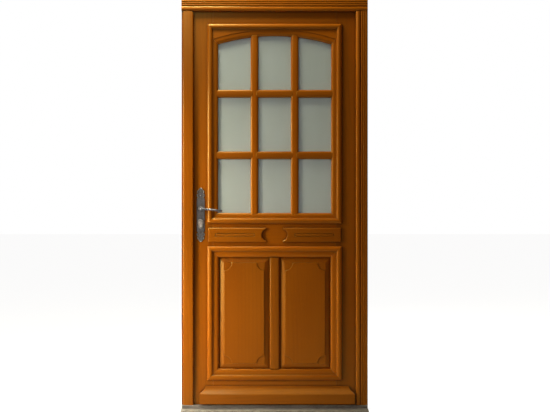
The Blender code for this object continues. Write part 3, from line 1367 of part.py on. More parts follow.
def build_backplate(name, face, outward, leaf):
    """Forged plate behind a lever, with a raised rose and a rim round the cylinder."""
    outline = plate_outline()
    near = face + outward * FIT
    front = face + outward * PLATE_THICKNESS
    rings = [at_depth(outline, near), at_depth(outline, front - outward * RIM_HEIGHT / 2),
             at_depth(inset_outline(outline, RIM_HEIGHT / 2), front)]
    plate = make_piece(name, loft(rings), iron(name + "_iron"), leaf)
    inside = front - outward * RIM_HEIGHT
    rose = [[Vector((x, depth, z)) for x, z in circle((SPINDLE_X, SPINDLE_HEIGHT), radius)]
            for radius, depth in ((ROSE_RADIUS, inside), (ROSE_RADIUS, front + outward * FIT),
                                  (ROSE_RADIUS - ROSE_HEIGHT, front + outward * ROSE_HEIGHT))]
    join(plate, loft(rose), "rose")
    rim = [at_depth(euro_outline(grow), depth)
           for grow, depth in ((RIM_WIDTH, inside), (RIM_WIDTH, front + outward * RIM_HEIGHT / 2),
                               (RIM_WIDTH - RIM_HEIGHT / 2, front + outward * RIM_HEIGHT))]
    join(plate, loft(rim), "rim")
    ends = sorted((face - outward * OVERRUN, front + outward * (ROSE_HEIGHT + OVERRUN)))
    neck = (NECK_RADIUS + NECK_CLEARANCE) / math.cos(math.pi / ROUND_FACETS)
    cut(plate, rod((SPINDLE_X, SPINDLE_HEIGHT), neck, "Y", *ends), "neck_hole")
    cut(plate, prism(euro_outline(2 * FIT), "Y", *ends), "cylinder_hole")
    holes = bmesh.new()
    for place in piercings():
        add_rod(holes, place, PLATE_PIERCING, "Y", *ends, facets=2 * QUARTER_FACETS)
    cut(plate, holes, "piercings")


# Stations of the lever after its bend: share of its length, and shares of its height and depth
LEVER_SHARES = ((0.00, 1.60, 1.15), (0.12, 0.92, 0.95), (0.32, 0.90, 0.95), (0.52, 1.00, 1.00),
                (0.70, 0.98, 0.95), (0.84, 0.90, 0.90))
TIP_SHARES = ((30, 0.86), (60, 0.92), (85, 1.00))
BEND_STEPS = 4


def lever_stations():
    """Middle, direction, half-height and half-depth of each ring of the outer lever."""
    neck_end = LEVER_STAND_OFF - LEVER_BEND
    stations = [(Vector((0, NECK_INSET, 0)), 0, NECK_RADIUS, NECK_RADIUS),
                (Vector((0, -neck_end, 0)), 0, NECK_RADIUS, NECK_RADIUS)]
    for step in range(1, BEND_STEPS + 1):
        turn = 90 * step / BEND_STEPS
        swing = math.radians(turn)
        place = Vector((LEVER_BEND * (1 - math.cos(swing)),
                        -neck_end - LEVER_BEND * math.sin(swing), 0))
        share = step / BEND_STEPS
        half = NECK_RADIUS + (LEVER_HEIGHT * LEVER_SHARES[0][1] / 2 - NECK_RADIUS) * share
        deep = NECK_RADIUS + (LEVER_DEPTH * LEVER_SHARES[0][2] / 2 - NECK_RADIUS) * share
        stations.append((place, turn, half, deep))
    straight = LEVER_LENGTH - LEVER_BEND - LEVER_RETURN
    for share, tall, deep in LEVER_SHARES[1:]:
        place = Vector((LEVER_BEND + straight * share / LEVER_SHARES[-1][0], -LEVER_STAND_OFF,
                        -LEVER_DROOP * share * share))
        stations.append((place, 90, LEVER_HEIGHT * tall / 2, LEVER_DEPTH * deep / 2))
    corner = stations[-1][0]
    for turn, share in TIP_SHARES:
        swing = math.radians(turn)
        place = corner + Vector((LEVER_RETURN * math.sin(swing),
                                 LEVER_RETURN * (1 - math.cos(swing)), 0))
        stations.append((place, 90 + turn, LEVER_TIP_HEIGHT * share / 2,
                         LEVER_DEPTH * share / 2))
    return stations


def build_lever(name, face, outward, handle):
    """Forged lever: round neck, bend, drooping arm and a return towards the door."""
    rings = []
    for place, turn, half, deep in lever_stations():
        swing = math.radians(turn)
        side = Vector((math.cos(swing), math.sin(swing), 0))
        ring = []
        for index in range(2 * LEVER_SIDES):
            around = math.pi * (index + 0.5) / LEVER_SIDES
            point = place + side * deep * math.cos(around)
            point.z += half * math.sin(around)
            point.y = face - outward * point.y
            ring.append(point + Vector((SPINDLE_X, 0, SPINDLE_HEIGHT)))
        rings.append(ring)
    lever = make_piece(name, loft(rings), iron(name + "_iron"), handle,
                       (SPINDLE_X, LOCK_Y, SPINDLE_HEIGHT), smooth=50)
    half = SPINDLE_SIZE / 2 + FIT
    ends = sorted((face - outward * (NECK_INSET + OVERRUN),
                   face + outward * (SOCKET_DEPTH - NECK_INSET)))
    cut(lever, box((SPINDLE_X - half, ends[0], SPINDLE_HEIGHT - half),
                   (SPINDLE_X + half, ends[1], SPINDLE_HEIGHT + half)), "socket")


def build_handles(leaf, handle):
    """Backplates, levers and the square spindle that joins the levers."""
    build_backplate("outer_backplate", 0, -1, leaf)
    build_backplate("inner_backplate", LEAF_THICKNESS, 1, leaf)
    build_lever("outer_lever", 0, -1, handle)
    build_lever("inner_lever", LEAF_THICKNESS, 1, handle)
    half = SPINDLE_SIZE / 2
    reach = SOCKET_DEPTH - NECK_INSET - FIT
    make_piece("spindle", box((SPINDLE_X - half, -reach, SPINDLE_HEIGHT - half),
                              (SPINDLE_X + half, LEAF_THICKNESS + reach, SPINDLE_HEIGHT + half)),
               steel("spindle_steel"), handle, (SPINDLE_X, LOCK_Y, SPINDLE_HEIGHT))


def build_leaf(leaf):
    """The leaf's woodwork and glass."""
    stile = build_stile("hinge_stile", 1, leaf, DARK_WOOD)
    for height in hinge_heights():
        cut(stile, hinge_recess(LEAF_X - HINGE_PLATE + HINGE_PLATE_PROUD - FIT,
                                LEAF_X + OVERRUN, height), "hinge_recess")
    build_lock_stile(leaf)
    build_rails(leaf)
    build_muntin(leaf)
    build_panel("left_panel", -1, leaf)
    build_panel("right_panel", 1, leaf)
    build_panel_mouldings(leaf)
    build_light_mouldings(leaf)
    build_arched_boards(leaf)
    build_inner_beads(leaf)
    build_glass(leaf)
    build_bars(leaf, True)
    build_bars(leaf, False)
    build_blocks(leaf)
    build_weatherboard(leaf)


def main():
    clear_scene()
    root = make_empty("frame", (0, 0, 0))
    leaf = make_empty("leaf", (HINGE_X, HINGE_Y, 0), root)
    handle = make_empty("handle", (SPINDLE_X, LOCK_Y, SPINDLE_HEIGHT), leaf)
    latch = make_empty("latch", (LOCK_EDGE, LOCK_Y, LATCH_Z), leaf)
    deadbolt = make_empty("deadbolt_slide", (LOCK_EDGE, LOCK_Y, DEADBOLT_Z), leaf)
    plug = make_empty("plug", (SPINDLE_X, LOCK_Y, CYLINDER_Z), leaf)
    build_head(root)
    build_hinge_jamb(root)
    build_lock_jamb(root)
    build_cover_strip(root)
    build_threshold(root)
    build_seals(root)
    build_strike_plate(root)
    build_hinges(root, leaf)
    build_leaf(leaf)
    build_lock(leaf)
    build_bolts(latch, deadbolt)
    build_cylinder(leaf, plug)
    build_handles(leaf, handle)


main()
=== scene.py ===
import math

import bpy
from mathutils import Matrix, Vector


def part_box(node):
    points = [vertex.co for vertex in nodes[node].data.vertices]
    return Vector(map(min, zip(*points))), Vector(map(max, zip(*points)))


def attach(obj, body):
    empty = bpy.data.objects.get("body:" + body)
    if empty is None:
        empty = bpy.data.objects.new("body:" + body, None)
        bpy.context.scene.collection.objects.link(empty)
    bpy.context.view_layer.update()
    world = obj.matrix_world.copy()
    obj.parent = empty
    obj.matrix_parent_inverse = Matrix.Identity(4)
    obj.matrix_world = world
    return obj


# Panelled and glazed front door: finishes, small fittings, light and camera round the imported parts
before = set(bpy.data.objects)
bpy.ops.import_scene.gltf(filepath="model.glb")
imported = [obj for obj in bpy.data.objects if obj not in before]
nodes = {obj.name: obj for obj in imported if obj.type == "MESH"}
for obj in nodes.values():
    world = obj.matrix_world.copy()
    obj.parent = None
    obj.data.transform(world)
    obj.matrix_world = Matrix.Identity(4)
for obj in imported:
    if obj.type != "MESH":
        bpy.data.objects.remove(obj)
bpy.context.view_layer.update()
scene = bpy.context.scene
bpy.ops.object.select_all(action="DESELECT")
print("frame loaded,", len(nodes), "nodes")


# Small helpers for shader trees

def addNode(tree, kind, **settings):
    node = tree.nodes.new(kind)
    for key, value in settings.items():
        if hasattr(node, key):
            setattr(node, key, value)
        else:
            node.inputs[key.replace("_", " ")].default_value = value
    return node


def link(tree, source, target):
    tree.links.new(source, target)


def makeGroup(name, inputs, outputs):
    group = bpy.data.node_groups.new(name, "ShaderNodeTree")
    for title, kind, value in inputs:
        socket = group.interface.new_socket(name=title, in_out="INPUT", socket_type=kind)
        if value is not None:
            socket.default_value = value
    for title, kind in outputs:
        group.interface.new_socket(name=title, in_out="OUTPUT", socket_type=kind)
    return group, group.nodes.new("NodeGroupInput"), group.nodes.new("NodeGroupOutput")


def feed(tree, socket, value):
    if isinstance(value, (int, float)):
        socket.default_value = value
    elif isinstance(value, tuple):
        socket.default_value = (*value, 1.0)
    else:
        link(tree, value, socket)


def stretched(tree, place, stretch):
    node = addNode(tree, "ShaderNodeVectorMath", operation="MULTIPLY")
    link(tree, place, node.inputs[0])
    if isinstance(stretch, tuple):
        node.inputs[1].default_value = stretch
    else:
        link(tree, stretch, node.inputs[1])
    return node.outputs[0]


def noise(tree, place, stretch, detail=2.0, roughness=0.5):
    node = addNode(tree, "ShaderNodeTexNoise", Scale=1.0, Detail=detail)
    node.inputs["Roughness"].default_value = roughness
    link(tree, stretched(tree, place, stretch), node.inputs["Vector"])
    return node.outputs["Fac"]


def mapRange(tree, source, low, high, toLow=0.0, toHigh=1.0, smooth=False):
    node = addNode(tree, "ShaderNodeMapRange", clamp=True)
    if smooth:
        node.interpolation_type = "SMOOTHSTEP"
    limits = {"From Min": low, "From Max": high, "To Min": toLow, "To Max": toHigh}
    for title, value in limits.items():
        node.inputs[title].default_value = value
    link(tree, source, node.inputs["Value"])
    return node.outputs["Result"]


def math2(tree, operation, first, second):
    node = addNode(tree, "ShaderNodeMath", operation=operation)
    for socket, value in zip(node.inputs, (first, second)):
        feed(tree, socket, value)
    return node.outputs[0]


def mixColour(tree, factor, first, second, blend="MIX"):
    node = addNode(tree, "ShaderNodeMix", data_type="RGBA", blend_type=blend)
    sockets = (node.inputs[0], node.inputs[6], node.inputs[7])    # those of a colour mix
    for socket, value in zip(sockets, (factor, first, second)):
        feed(tree, socket, value)
    return node.outputs[2]


def startMaterial(name, colour, roughness, metallic=0.0):
    material = bpy.data.materials.new(name)
    material.use_nodes = True
    tree = material.node_tree
    shader = tree.nodes["Principled BSDF"]
    shader.inputs["Base Color"].default_value = (*colour, 1.0)
    shader.inputs["Roughness"].default_value = roughness
    shader.inputs["Metallic"].default_value = metallic
    material.diffuse_color = (*colour, 1.0)
    return material, tree, shader


def objectPlace(tree, offset=(0, 0, 0), turn=(0, 0, 0)):
    coordinates = addNode(tree, "ShaderNodeTexCoord")
    mapping = addNode(tree, "ShaderNodeMapping", vector_type="POINT")
    mapping.inputs["Location"].default_value = offset
    mapping.inputs["Rotation"].default_value = turn
    link(tree, coordinates.outputs["Object"], mapping.inputs["Vector"])
    return mapping.outputs["Vector"]


def useGroup(tree, group, **values):
    node = tree.nodes.new("ShaderNodeGroup")
    node.node_tree = group
    for title, value in values.items():
        feed(tree, node.inputs[title], value)
    return node


def addBump(tree, shader, height, strength, distance):
    bump = addNode(tree, "ShaderNodeBump", Strength=strength, Distance=distance)
    link(tree, height, bump.inputs["Height"])
    link(tree, bump.outputs["Normal"], shader.inputs["Normal"])
    return bump


# Masks and normals shared by the materials: softened arrises, worn edges, end grain. The worn
# edges and the ends fade between two cosines of the angle between two normals. On the wood
# the worn-edge mask also lays a painted highlight along the arrises.
maskLook = {"samples": 4, "radius": 0.0012, "worn": (0.80, 0.995), "ends": (0.80, 0.92)}


def makeSoftEdgeGroup():
    inputs = [("Radius", "NodeSocketFloat", maskLook["radius"])]
    tree, start, end = makeGroup("softEdge", inputs, [("Normal", "NodeSocketVector"),
                                                      ("Edge", "NodeSocketFloat")])
    bevel = addNode(tree, "ShaderNodeBevel", samples=maskLook["samples"])
    link(tree, start.outputs["Radius"], bevel.inputs["Radius"])
    geometry = addNode(tree, "ShaderNodeNewGeometry")
    facing = addNode(tree, "ShaderNodeVectorMath", operation="DOT_PRODUCT")
    link(tree, bevel.outputs["Normal"], facing.inputs[0])
    link(tree, geometry.outputs["Normal"], facing.inputs[1])
    link(tree, bevel.outputs["Normal"], end.inputs["Normal"])
    worn = mapRange(tree, facing.outputs["Value"], *maskLook["worn"], 1.0, 0.0)
    link(tree, worn, end.inputs["Edge"])
    return tree


def makeEndGrainGroup():
    inputs = [("Axis", "NodeSocketVector", (0.0, 0.0, 1.0))]
    tree, start, end = makeGroup("endGrain", inputs, [("Mask", "NodeSocketFloat")])
    coordinates = addNode(tree, "ShaderNodeTexCoord")
    along = addNode(tree, "ShaderNodeVectorMath", operation="DOT_PRODUCT")
    link(tree, coordinates.outputs["Normal"], along.inputs[0])
    link(tree, start.outputs["Axis"], along.inputs[1])
    size = math2(tree, "ABSOLUTE", along.outputs["Value"], 0.0)
    link(tree, mapRange(tree, size, *maskLook["ends"], 0.0, 1.0, True), end.inputs["Mask"])
    return tree


# Stained and varnished hardwood: grain runs along the group's own Z
woodLook = {
    "stain": (0.490, 0.112, 0.0010),       # face of the varnished wood
    "deep": (0.225, 0.036, 0.0004),        # late wood and pores
    "warm": (0.590, 0.150, 0.0025),        # lighter early wood
    "roughness": 0.31,
    "specular": 1.0,
    "specularTint": (1.0, 0.84, 0.30),     # amber varnish
    "coat": 0.04,
    "coatRoughness": 0.12,
    "bump": 0.14,
    "grainDepth": 0.00030,
    "arris": 0.0012,                       # radius of the softened edges
    "endTone": 0.58,                       # end grain drinks more stain
    "figure": 0.75,                        # strength of the grain's figure
    "calmFigure": {"left_panel": 0.45, "right_panel": 0.45},
    "softArris": {"left_panel": 0.0040, "right_panel": 0.0040,
                  "left_block": 0.0030, "right_block": 0.0030},
    "weathered": {"weatherboard": 0.24, "left_panel": 0.07},    # varnish gone dull
    "rubbed": (0.76, 0.31, 0.018),         # stain worn thin along the arrises, and a painted highlight there
    "rubAndHighlight": 0.55,                           # how much of that worn stain and painted highlight shows
    "tones": (1.0, 0.96, 1.04, 0.94, 1.02, 0.98, 1.05),      # taken in turn, board by board
    # Stain brightness set piece by piece as painted light and shade: lighter on pieces in shade,
    # darker on lit ones
    "paintedLightTones": {"outer_upright_bar_1": 1.30, "outer_upright_bar_2": 1.26,
                   "arched_spandrel": 1.32, "lock_cover_strip": 0.98, "frame_head": 1.18,
                   "upper_panel_moulding": 1.32, "left_panel_moulding": 1.24,
                   "right_panel_moulding": 1.36, "right_light_moulding": 1.16,
                   "bottom_light_moulding": 1.16, "hinge_jamb": 1.22, "hinge_stile": 0.90,
                   "lock_stile": 0.94, "top_rail": 0.94, "mid_rail": 1.16,
                   "lower_muntin": 0.92, "weatherboard": 0.96},
}
# Grain: how often each kind of mark comes in a metre, across, through and along the board
grainLook = {
    "rings": (1.0, 1.0, 0.035), "ringScale": 30.0, "ringBend": 1.8, "ringDetail": 2.0,
    "ringDetailScale": 1.6,
    "wander": (2.2, 2.2, 0.55), "wanderReach": (0.085, 0.045, 0.0),
    "cloud": (4.0, 4.0, 1.1), "patches": (9.0, 9.0, 1.6), "patchStrength": (0.02, 0.22),
    "streaks": (150.0, 150.0, 2.4), "streakStrength": 0.20, "streakHeight": 0.5,
    "pores": (950.0, 950.0, 38.0), "poreStrength": 0.28, "poreDullness": 0.16,
    "flecks": (120.0, 480.0, 60.0), "fleckStrength": 0.35,
    "endPores": (1100.0, 1100.0, 90.0), "endPoreStrength": 0.55, "endDullness": 0.12,
    "ringHeight": 0.15, "boardStep": (0.37, 0.53, 1.71),
}


def makeWoodGroup():
    inputs = [("Vector", "NodeSocketVector", None),
              ("Stain", "NodeSocketColor", (*woodLook["stain"], 1)),
              ("Deep", "NodeSocketColor", (*woodLook["deep"], 1)),
              ("Warm", "NodeSocketColor", (*woodLook["warm"], 1)),
              ("Figure", "NodeSocketFloat", 1.0),
              ("Ends", "NodeSocketFloat", 0.0)]
    outputs = [("Color", "NodeSocketColor"), ("Height", "NodeSocketFloat"),
               ("Gloss", "NodeSocketFloat")]
    tree, start, end = makeGroup("stainedGrain", inputs, outputs)
    place = start.outputs["Vector"]

    # growth rings: planks cut a little off the heart, so the bands wander along the board
    long = stretched(tree, place, grainLook["rings"])
    wander = noise(tree, place, grainLook["wander"])
    bend = addNode(tree, "ShaderNodeVectorMath", operation="SCALE")
    link(tree, wander, bend.inputs["Scale"])
    bend.inputs[0].default_value = grainLook["wanderReach"]
    moved = addNode(tree, "ShaderNodeVectorMath", operation="ADD")
    link(tree, long, moved.inputs[0])
    link(tree, bend.outputs[0], moved.inputs[1])
    rings = addNode(tree, "ShaderNodeTexWave", wave_type="BANDS", bands_direction="DIAGONAL",
                    wave_profile="SAW", Scale=grainLook["ringScale"],
                    Distortion=grainLook["ringBend"], Detail=grainLook["ringDetail"],
                    Detail_Scale=grainLook["ringDetailScale"])
    link(tree, moved.outputs[0], rings.inputs["Vector"])
    lateWood = mapRange(tree, rings.outputs["Fac"], 0.45, 1.0, 0.0, 1.0, True)

    # slow change of tone, fibre streaks, open pores and short ray flecks
    cloud = noise(tree, place, grainLook["cloud"], 3.0)
    streaks = noise(tree, place, grainLook["streaks"], 5.0, 0.6)
    pores = noise(tree, place, grainLook["pores"], 2.0, 0.4)
    poreMask = mapRange(tree, pores, 0.60, 0.70, 0.0, 1.0, True)
    flecks = noise(tree, place, grainLook["flecks"], 1.0, 0.3)
    fleckMask = mapRange(tree, flecks, 0.66, 0.74, 0.0, 1.0, True)
    patches = noise(tree, place, grainLook["patches"])
    patchy = mapRange(tree, patches, 0.35, 0.70, *grainLook["patchStrength"], True)
    figure = math2(tree, "MULTIPLY", lateWood, patchy)
    streaky = mapRange(tree, streaks, 0.35, 0.75, 0.0, grainLook["streakStrength"])
    figure = math2(tree, "ADD", figure, streaky)
    porous = math2(tree, "MULTIPLY", poreMask, grainLook["poreStrength"])
    figure = math2(tree, "ADD", figure, porous)
    figure = math2(tree, "MULTIPLY", figure, start.outputs["Figure"])
    base = mixColour(tree, mapRange(tree, cloud, 0.30, 0.70), start.outputs["Stain"],
                     start.outputs["Warm"])
    flecked = math2(tree, "MULTIPLY", fleckMask, grainLook["fleckStrength"])
    base = mixColour(tree, flecked, base, start.outputs["Warm"])
    face = mixColour(tree, figure, base, start.outputs["Deep"])

    # end grain: round pores in place of streaks, and a darker tone
    dots = addNode(tree, "ShaderNodeTexVoronoi", feature="F1", Scale=1.0)
    link(tree, stretched(tree, place, grainLook["endPores"]), dots.inputs["Vector"])
    dotMask = mapRange(tree, dots.outputs["Distance"], 0.18, 0.34, 1.0, 0.0, True)
    tone = mixColour(tree, 1.0, base, (woodLook["endTone"],) * 3, "MULTIPLY")
    dotted = math2(tree, "MULTIPLY", dotMask, grainLook["endPoreStrength"])
    cutEnd = mixColour(tree, dotted, tone, start.outputs["Deep"])
    link(tree, mixColour(tree, start.outputs["Ends"], face, cutEnd), end.inputs["Color"])

    ridges = math2(tree, "MULTIPLY", streaks, grainLook["streakHeight"])
    height = math2(tree, "SUBTRACT", ridges, poreMask)
    steps = math2(tree, "MULTIPLY", lateWood, grainLook["ringHeight"])
    height = math2(tree, "SUBTRACT", height, steps)
    pits = math2(tree, "MULTIPLY", start.outputs["Ends"], dotMask)
    link(tree, math2(tree, "SUBTRACT", height, pits), end.inputs["Height"])
    dull = math2(tree, "MULTIPLY", poreMask, grainLook["poreDullness"])
    gloss = math2(tree, "ADD", dull, mapRange(tree, cloud, 0.3, 0.7, -0.03, 0.05))
    dullEnds = math2(tree, "MULTIPLY", start.outputs["Ends"], grainLook["endDullness"])
    link(tree, math2(tree, "ADD", gloss, dullEnds), end.inputs["Gloss"])
    return tree


# Darker stain that gathers in quirks and along planted edges, with painted shade: ambient occlusion
# darkens the colour in recesses, under mouldings and between parts
stainAndShadeLook = {"reach": 0.018, "depth": 0.88, "openness": (0.46, 0.94), "samples": 6,
             "stainAndShadeTint": (0.25, 0.14, 0.06)}


def makeGlazeGroup():
    inputs = [("Color", "NodeSocketColor", (*woodLook["stain"], 1)),
              ("Reach", "NodeSocketFloat", stainAndShadeLook["reach"]),
              ("Depth", "NodeSocketFloat", stainAndShadeLook["depth"])]
    tree, start, end = makeGroup("gatheredStainAndShade", inputs, [("Color", "NodeSocketColor")])
    hollow = addNode(tree, "ShaderNodeAmbientOcclusion", samples=stainAndShadeLook["samples"])
    link(tree, start.outputs["Reach"], hollow.inputs["Distance"])
    dark = mapRange(tree, hollow.outputs["AO"], *stainAndShadeLook["openness"], 1.0, 0.0)
    factor = math2(tree, "MULTIPLY", dark, start.outputs["Depth"])
    deeper = mixColour(tree, 1.0, start.outputs["Color"], stainAndShadeLook["stainAndShadeTint"], "MULTIPLY")
    link(tree, mixColour(tree, factor, start.outputs["Color"], deeper), end.inputs["Color"])
    return tree


softEdgeGroup = makeSoftEdgeGroup()
endGrainGroup = makeEndGrainGroup()
woodGroup = makeWoodGroup()
stainAndShadeGroup = makeGlazeGroup()
grainTurns = {"upright": (0, 0, 0), "level": (0, math.radians(90), 0)}
grainAxes = {"upright": (0.0, 0.0, 1.0), "level": (1.0, 0.0, 0.0)}


def shade(colour, factor):
    return tuple(channel * factor for channel in colour)


def woodMaterial(name, direction, seed, tone, figure, arris, roughness):
    material, tree, shader = startMaterial(name, shade(woodLook["stain"], tone), roughness)
    offset = tuple(step * seed for step in grainLook["boardStep"])
    ends = useGroup(tree, endGrainGroup)
    ends.inputs["Axis"].default_value = grainAxes[direction]
    grain = useGroup(tree, woodGroup, Vector=objectPlace(tree, offset, grainTurns[direction]),
                     Stain=shade(woodLook["stain"], tone), Deep=shade(woodLook["deep"], tone),
                     Warm=shade(woodLook["warm"], tone), Figure=figure,
                     Ends=ends.outputs["Mask"])
    # Painted shade: the stain darkens wherever ambient occlusion finds a recess
    stainAndShade = useGroup(tree, stainAndShadeGroup, Color=grain.outputs["Color"])
    edge = useGroup(tree, softEdgeGroup, Radius=arris)
    # Worn stain and painted highlight: the edge mask lightens the arrises
    rubbed = mixColour(tree, math2(tree, "MULTIPLY", edge.outputs["Edge"], woodLook["rubAndHighlight"]),
                       stainAndShade.outputs["Color"], shade(woodLook["rubbed"], tone))
    link(tree, rubbed, shader.inputs["Base Color"])
    link(tree, math2(tree, "ADD", grain.outputs["Gloss"], roughness), shader.inputs["Roughness"])
    shader.inputs["Specular IOR Level"].default_value = woodLook["specular"]
    shader.inputs["Specular Tint"].default_value = (*woodLook["specularTint"], 1.0)
    shader.inputs["Coat Weight"].default_value = woodLook["coat"]
    shader.inputs["Coat Roughness"].default_value = woodLook["coatRoughness"]
    bump = addBump(tree, shader, grain.outputs["Height"], woodLook["bump"],
                   woodLook["grainDepth"])
    link(tree, edge.outputs["Normal"], bump.inputs["Normal"])
    link(tree, edge.outputs["Normal"], shader.inputs["Coat Normal"])
    return material


def dress(name, material):
    node = nodes[name]
    if node.material_slots:
        for slot in node.material_slots:
            slot.material = material
    else:
        node.data.materials.append(material)


woodPieces = {
    "upright": ["hinge_jamb", "lock_jamb", "lock_cover_strip", "hinge_stile", "lock_stile",
                "lower_muntin", "left_panel", "right_panel", "left_panel_moulding",
                "right_panel_moulding", "left_light_moulding", "right_light_moulding",
                "inner_left_bead", "inner_right_bead", "outer_upright_bar_1",
                "outer_upright_bar_2", "inner_upright_bar_1", "inner_upright_bar_2"],
    "level": ["frame_head", "top_rail", "mid_rail", "bottom_rail", "lower_panel_moulding",
              "upper_panel_moulding", "bottom_light_moulding", "top_light_bead",
              "arched_spandrel", "inner_arched_bead", "inner_bottom_bead",
              "outer_cross_bar_1", "outer_cross_bar_2", "inner_cross_bar_1",
              "inner_cross_bar_2", "left_block", "right_block", "weatherboard"],
}
for direction, names in woodPieces.items():
    for index, name in enumerate(names):
        seed = index + (0.5 if direction == "level" else 0.0)
        nextTone = woodLook["tones"][(index * 3 + len(name)) % len(woodLook["tones"])]
        # listed pieces get painted light and shade, the rest get a tone taken in turn
        tone = woodLook["paintedLightTones"].get(name, nextTone)
        figure = woodLook["calmFigure"].get(name, woodLook["figure"])
        arris = woodLook["softArris"].get(name, woodLook["arris"])
        roughness = woodLook["roughness"] + woodLook["weathered"].get(name, 0.0)
        dress(name, woodMaterial(name + "Wood", direction, seed, tone, figure, arris, roughness))
print("wood finished,", sum(len(names) for names in woodPieces.values()), "pieces")


# Metals: drawn or brushed lines, smudges, dents and rubbed edges
wearLook = {"smudges": (38.0, 38.0, 38.0), "smudgeStrength": 0.75,
            "specks": (420.0, 420.0, 420.0), "speckStrength": 0.35,
            "dents": (170.0, 170.0, 170.0), "lineHeight": 0.35, "arris": 0.0008}


def makeMetalGroup():
    inputs = [("Vector", "NodeSocketVector", None),
              ("Base", "NodeSocketColor", (0.5, 0.5, 0.5, 1)),
              ("Rubbed", "NodeSocketColor", (0.8, 0.8, 0.8, 1)),
              ("Tarnish", "NodeSocketColor", (0.2, 0.2, 0.2, 1)),
              ("Lines", "NodeSocketVector", (400.0, 400.0, 4.0)),
              ("Hammer", "NodeSocketFloat", 0.0),
              ("Edge", "NodeSocketFloat", 0.0)]
    outputs = [("Color", "NodeSocketColor"), ("Height", "NodeSocketFloat"),
               ("Gloss", "NodeSocketFloat")]
    tree, start, end = makeGroup("workedMetal", inputs, outputs)
    place = start.outputs["Vector"]
    lines = noise(tree, place, start.outputs["Lines"], 3.0, 0.6)
    smudge = noise(tree, place, wearLook["smudges"], 5.0, 0.65)
    specks = noise(tree, place, wearLook["specks"], 3.0)
    dents = addNode(tree, "ShaderNodeTexVoronoi", feature="SMOOTH_F1", Scale=1.0)
    link(tree, stretched(tree, place, wearLook["dents"]), dents.inputs["Vector"])
    dark = mapRange(tree, smudge, 0.38, 0.68, 0.0, wearLook["smudgeStrength"], True)
    colour = mixColour(tree, dark, start.outputs["Base"], start.outputs["Tarnish"])
    fleck = math2(tree, "MULTIPLY", mapRange(tree, specks, 0.55, 0.72), wearLook["speckStrength"])
    colour = mixColour(tree, fleck, colour, start.outputs["Rubbed"])
    uneven = mapRange(tree, smudge, 0.3, 0.6, 0.9, 0.4)
    worn = math2(tree, "MULTIPLY", start.outputs["Edge"], uneven)
    link(tree, mixColour(tree, worn, colour, start.outputs["Rubbed"]), end.inputs["Color"])
    beaten = math2(tree, "MULTIPLY", dents.outputs["Distance"], start.outputs["Hammer"])
    scratched = math2(tree, "MULTIPLY", lines, wearLook["lineHeight"])
    link(tree, math2(tree, "ADD", scratched, beaten), end.inputs["Height"])
    gloss = math2(tree, "ADD", mapRange(tree, smudge, 0.3, 0.7, -0.05, 0.12),
                  mapRange(tree, lines, 0.3, 0.7, -0.04, 0.04))
    link(tree, gloss, end.inputs["Gloss"])
    return tree


metalGroup = makeMetalGroup()
metalLooks = {
    "agedIron": {"base": (0.200, 0.194, 0.265), "rubbed": (0.60, 0.57, 0.62),
                 "tarnish": (0.095, 0.084, 0.098), "lines": (260.0, 260.0, 60.0), "hammer": 1.0,
                 "roughness": 0.40, "metallic": 0.45, "bump": 0.32, "depth": 0.0004},
    "wornPewter": {"base": (0.34, 0.36, 0.52), "rubbed": (0.76, 0.80, 0.96),
                   "tarnish": (0.13, 0.12, 0.15), "lines": (160.0, 160.0, 160.0), "hammer": 0.3,
                   "roughness": 0.24, "metallic": 0.8, "bump": 0.16, "depth": 0.0003},
    "satinSteel": {"base": (0.52, 0.52, 0.53), "rubbed": (0.80, 0.80, 0.80),
                   "tarnish": (0.30, 0.29, 0.28), "lines": (700.0, 700.0, 5.0), "hammer": 0.0,
                   "roughness": 0.34, "metallic": 1.0, "bump": 0.12, "depth": 0.0002},
    "brightPearl": {"base": (0.66, 0.68, 0.72), "rubbed": (0.90, 0.90, 0.94),
                    "tarnish": (0.34, 0.33, 0.35), "lines": (90.0, 90.0, 90.0), "hammer": 0.0,
                    "roughness": 0.32, "metallic": 0.5, "bump": 0.08, "depth": 0.0001},
    "zincSteel": {"base": (0.46, 0.46, 0.44), "rubbed": (0.74, 0.73, 0.70),
                  "tarnish": (0.24, 0.23, 0.21), "lines": (90.0, 90.0, 90.0), "hammer": 0.0,
                  "roughness": 0.42, "metallic": 1.0, "bump": 0.15, "depth": 0.0002},
    "satinNickel": {"base": (0.96, 0.88, 0.98), "rubbed": (0.98, 0.94, 0.98),
                    "tarnish": (0.60, 0.52, 0.60), "lines": (5.0, 260.0, 700.0), "hammer": 0.0,
                    "roughness": 0.34, "metallic": 0.35, "bump": 0.10, "depth": 0.0001},
    "drawnAluminium": {"base": (0.50, 0.465, 0.51), "rubbed": (0.70, 0.67, 0.70),
                       "tarnish": (0.38, 0.35, 0.38), "lines": (2.0, 900.0, 900.0),
                       "hammer": 0.0, "roughness": 0.42, "metallic": 0.55, "bump": 0.07,
                       "depth": 0.0002},
}


def metalMaterial(name, look):
    material, tree, shader = startMaterial(name, look["base"], look["roughness"], look["metallic"])
    edge = useGroup(tree, softEdgeGroup, Radius=wearLook["arris"])
    metal = useGroup(tree, metalGroup, Vector=objectPlace(tree), Base=look["base"],
                     Rubbed=look["rubbed"], Tarnish=look["tarnish"], Hammer=look["hammer"],
                     Edge=edge.outputs["Edge"])
    metal.inputs["Lines"].default_value = look["lines"]
    metal.name = "finish"
    link(tree, metal.outputs["Color"], shader.inputs["Base Color"])
    link(tree, math2(tree, "ADD", metal.outputs["Gloss"], look["roughness"]),
         shader.inputs["Roughness"])
    bump = addBump(tree, shader, metal.outputs["Height"], look["bump"], look["depth"])
    link(tree, edge.outputs["Normal"], bump.inputs["Normal"])
    return material


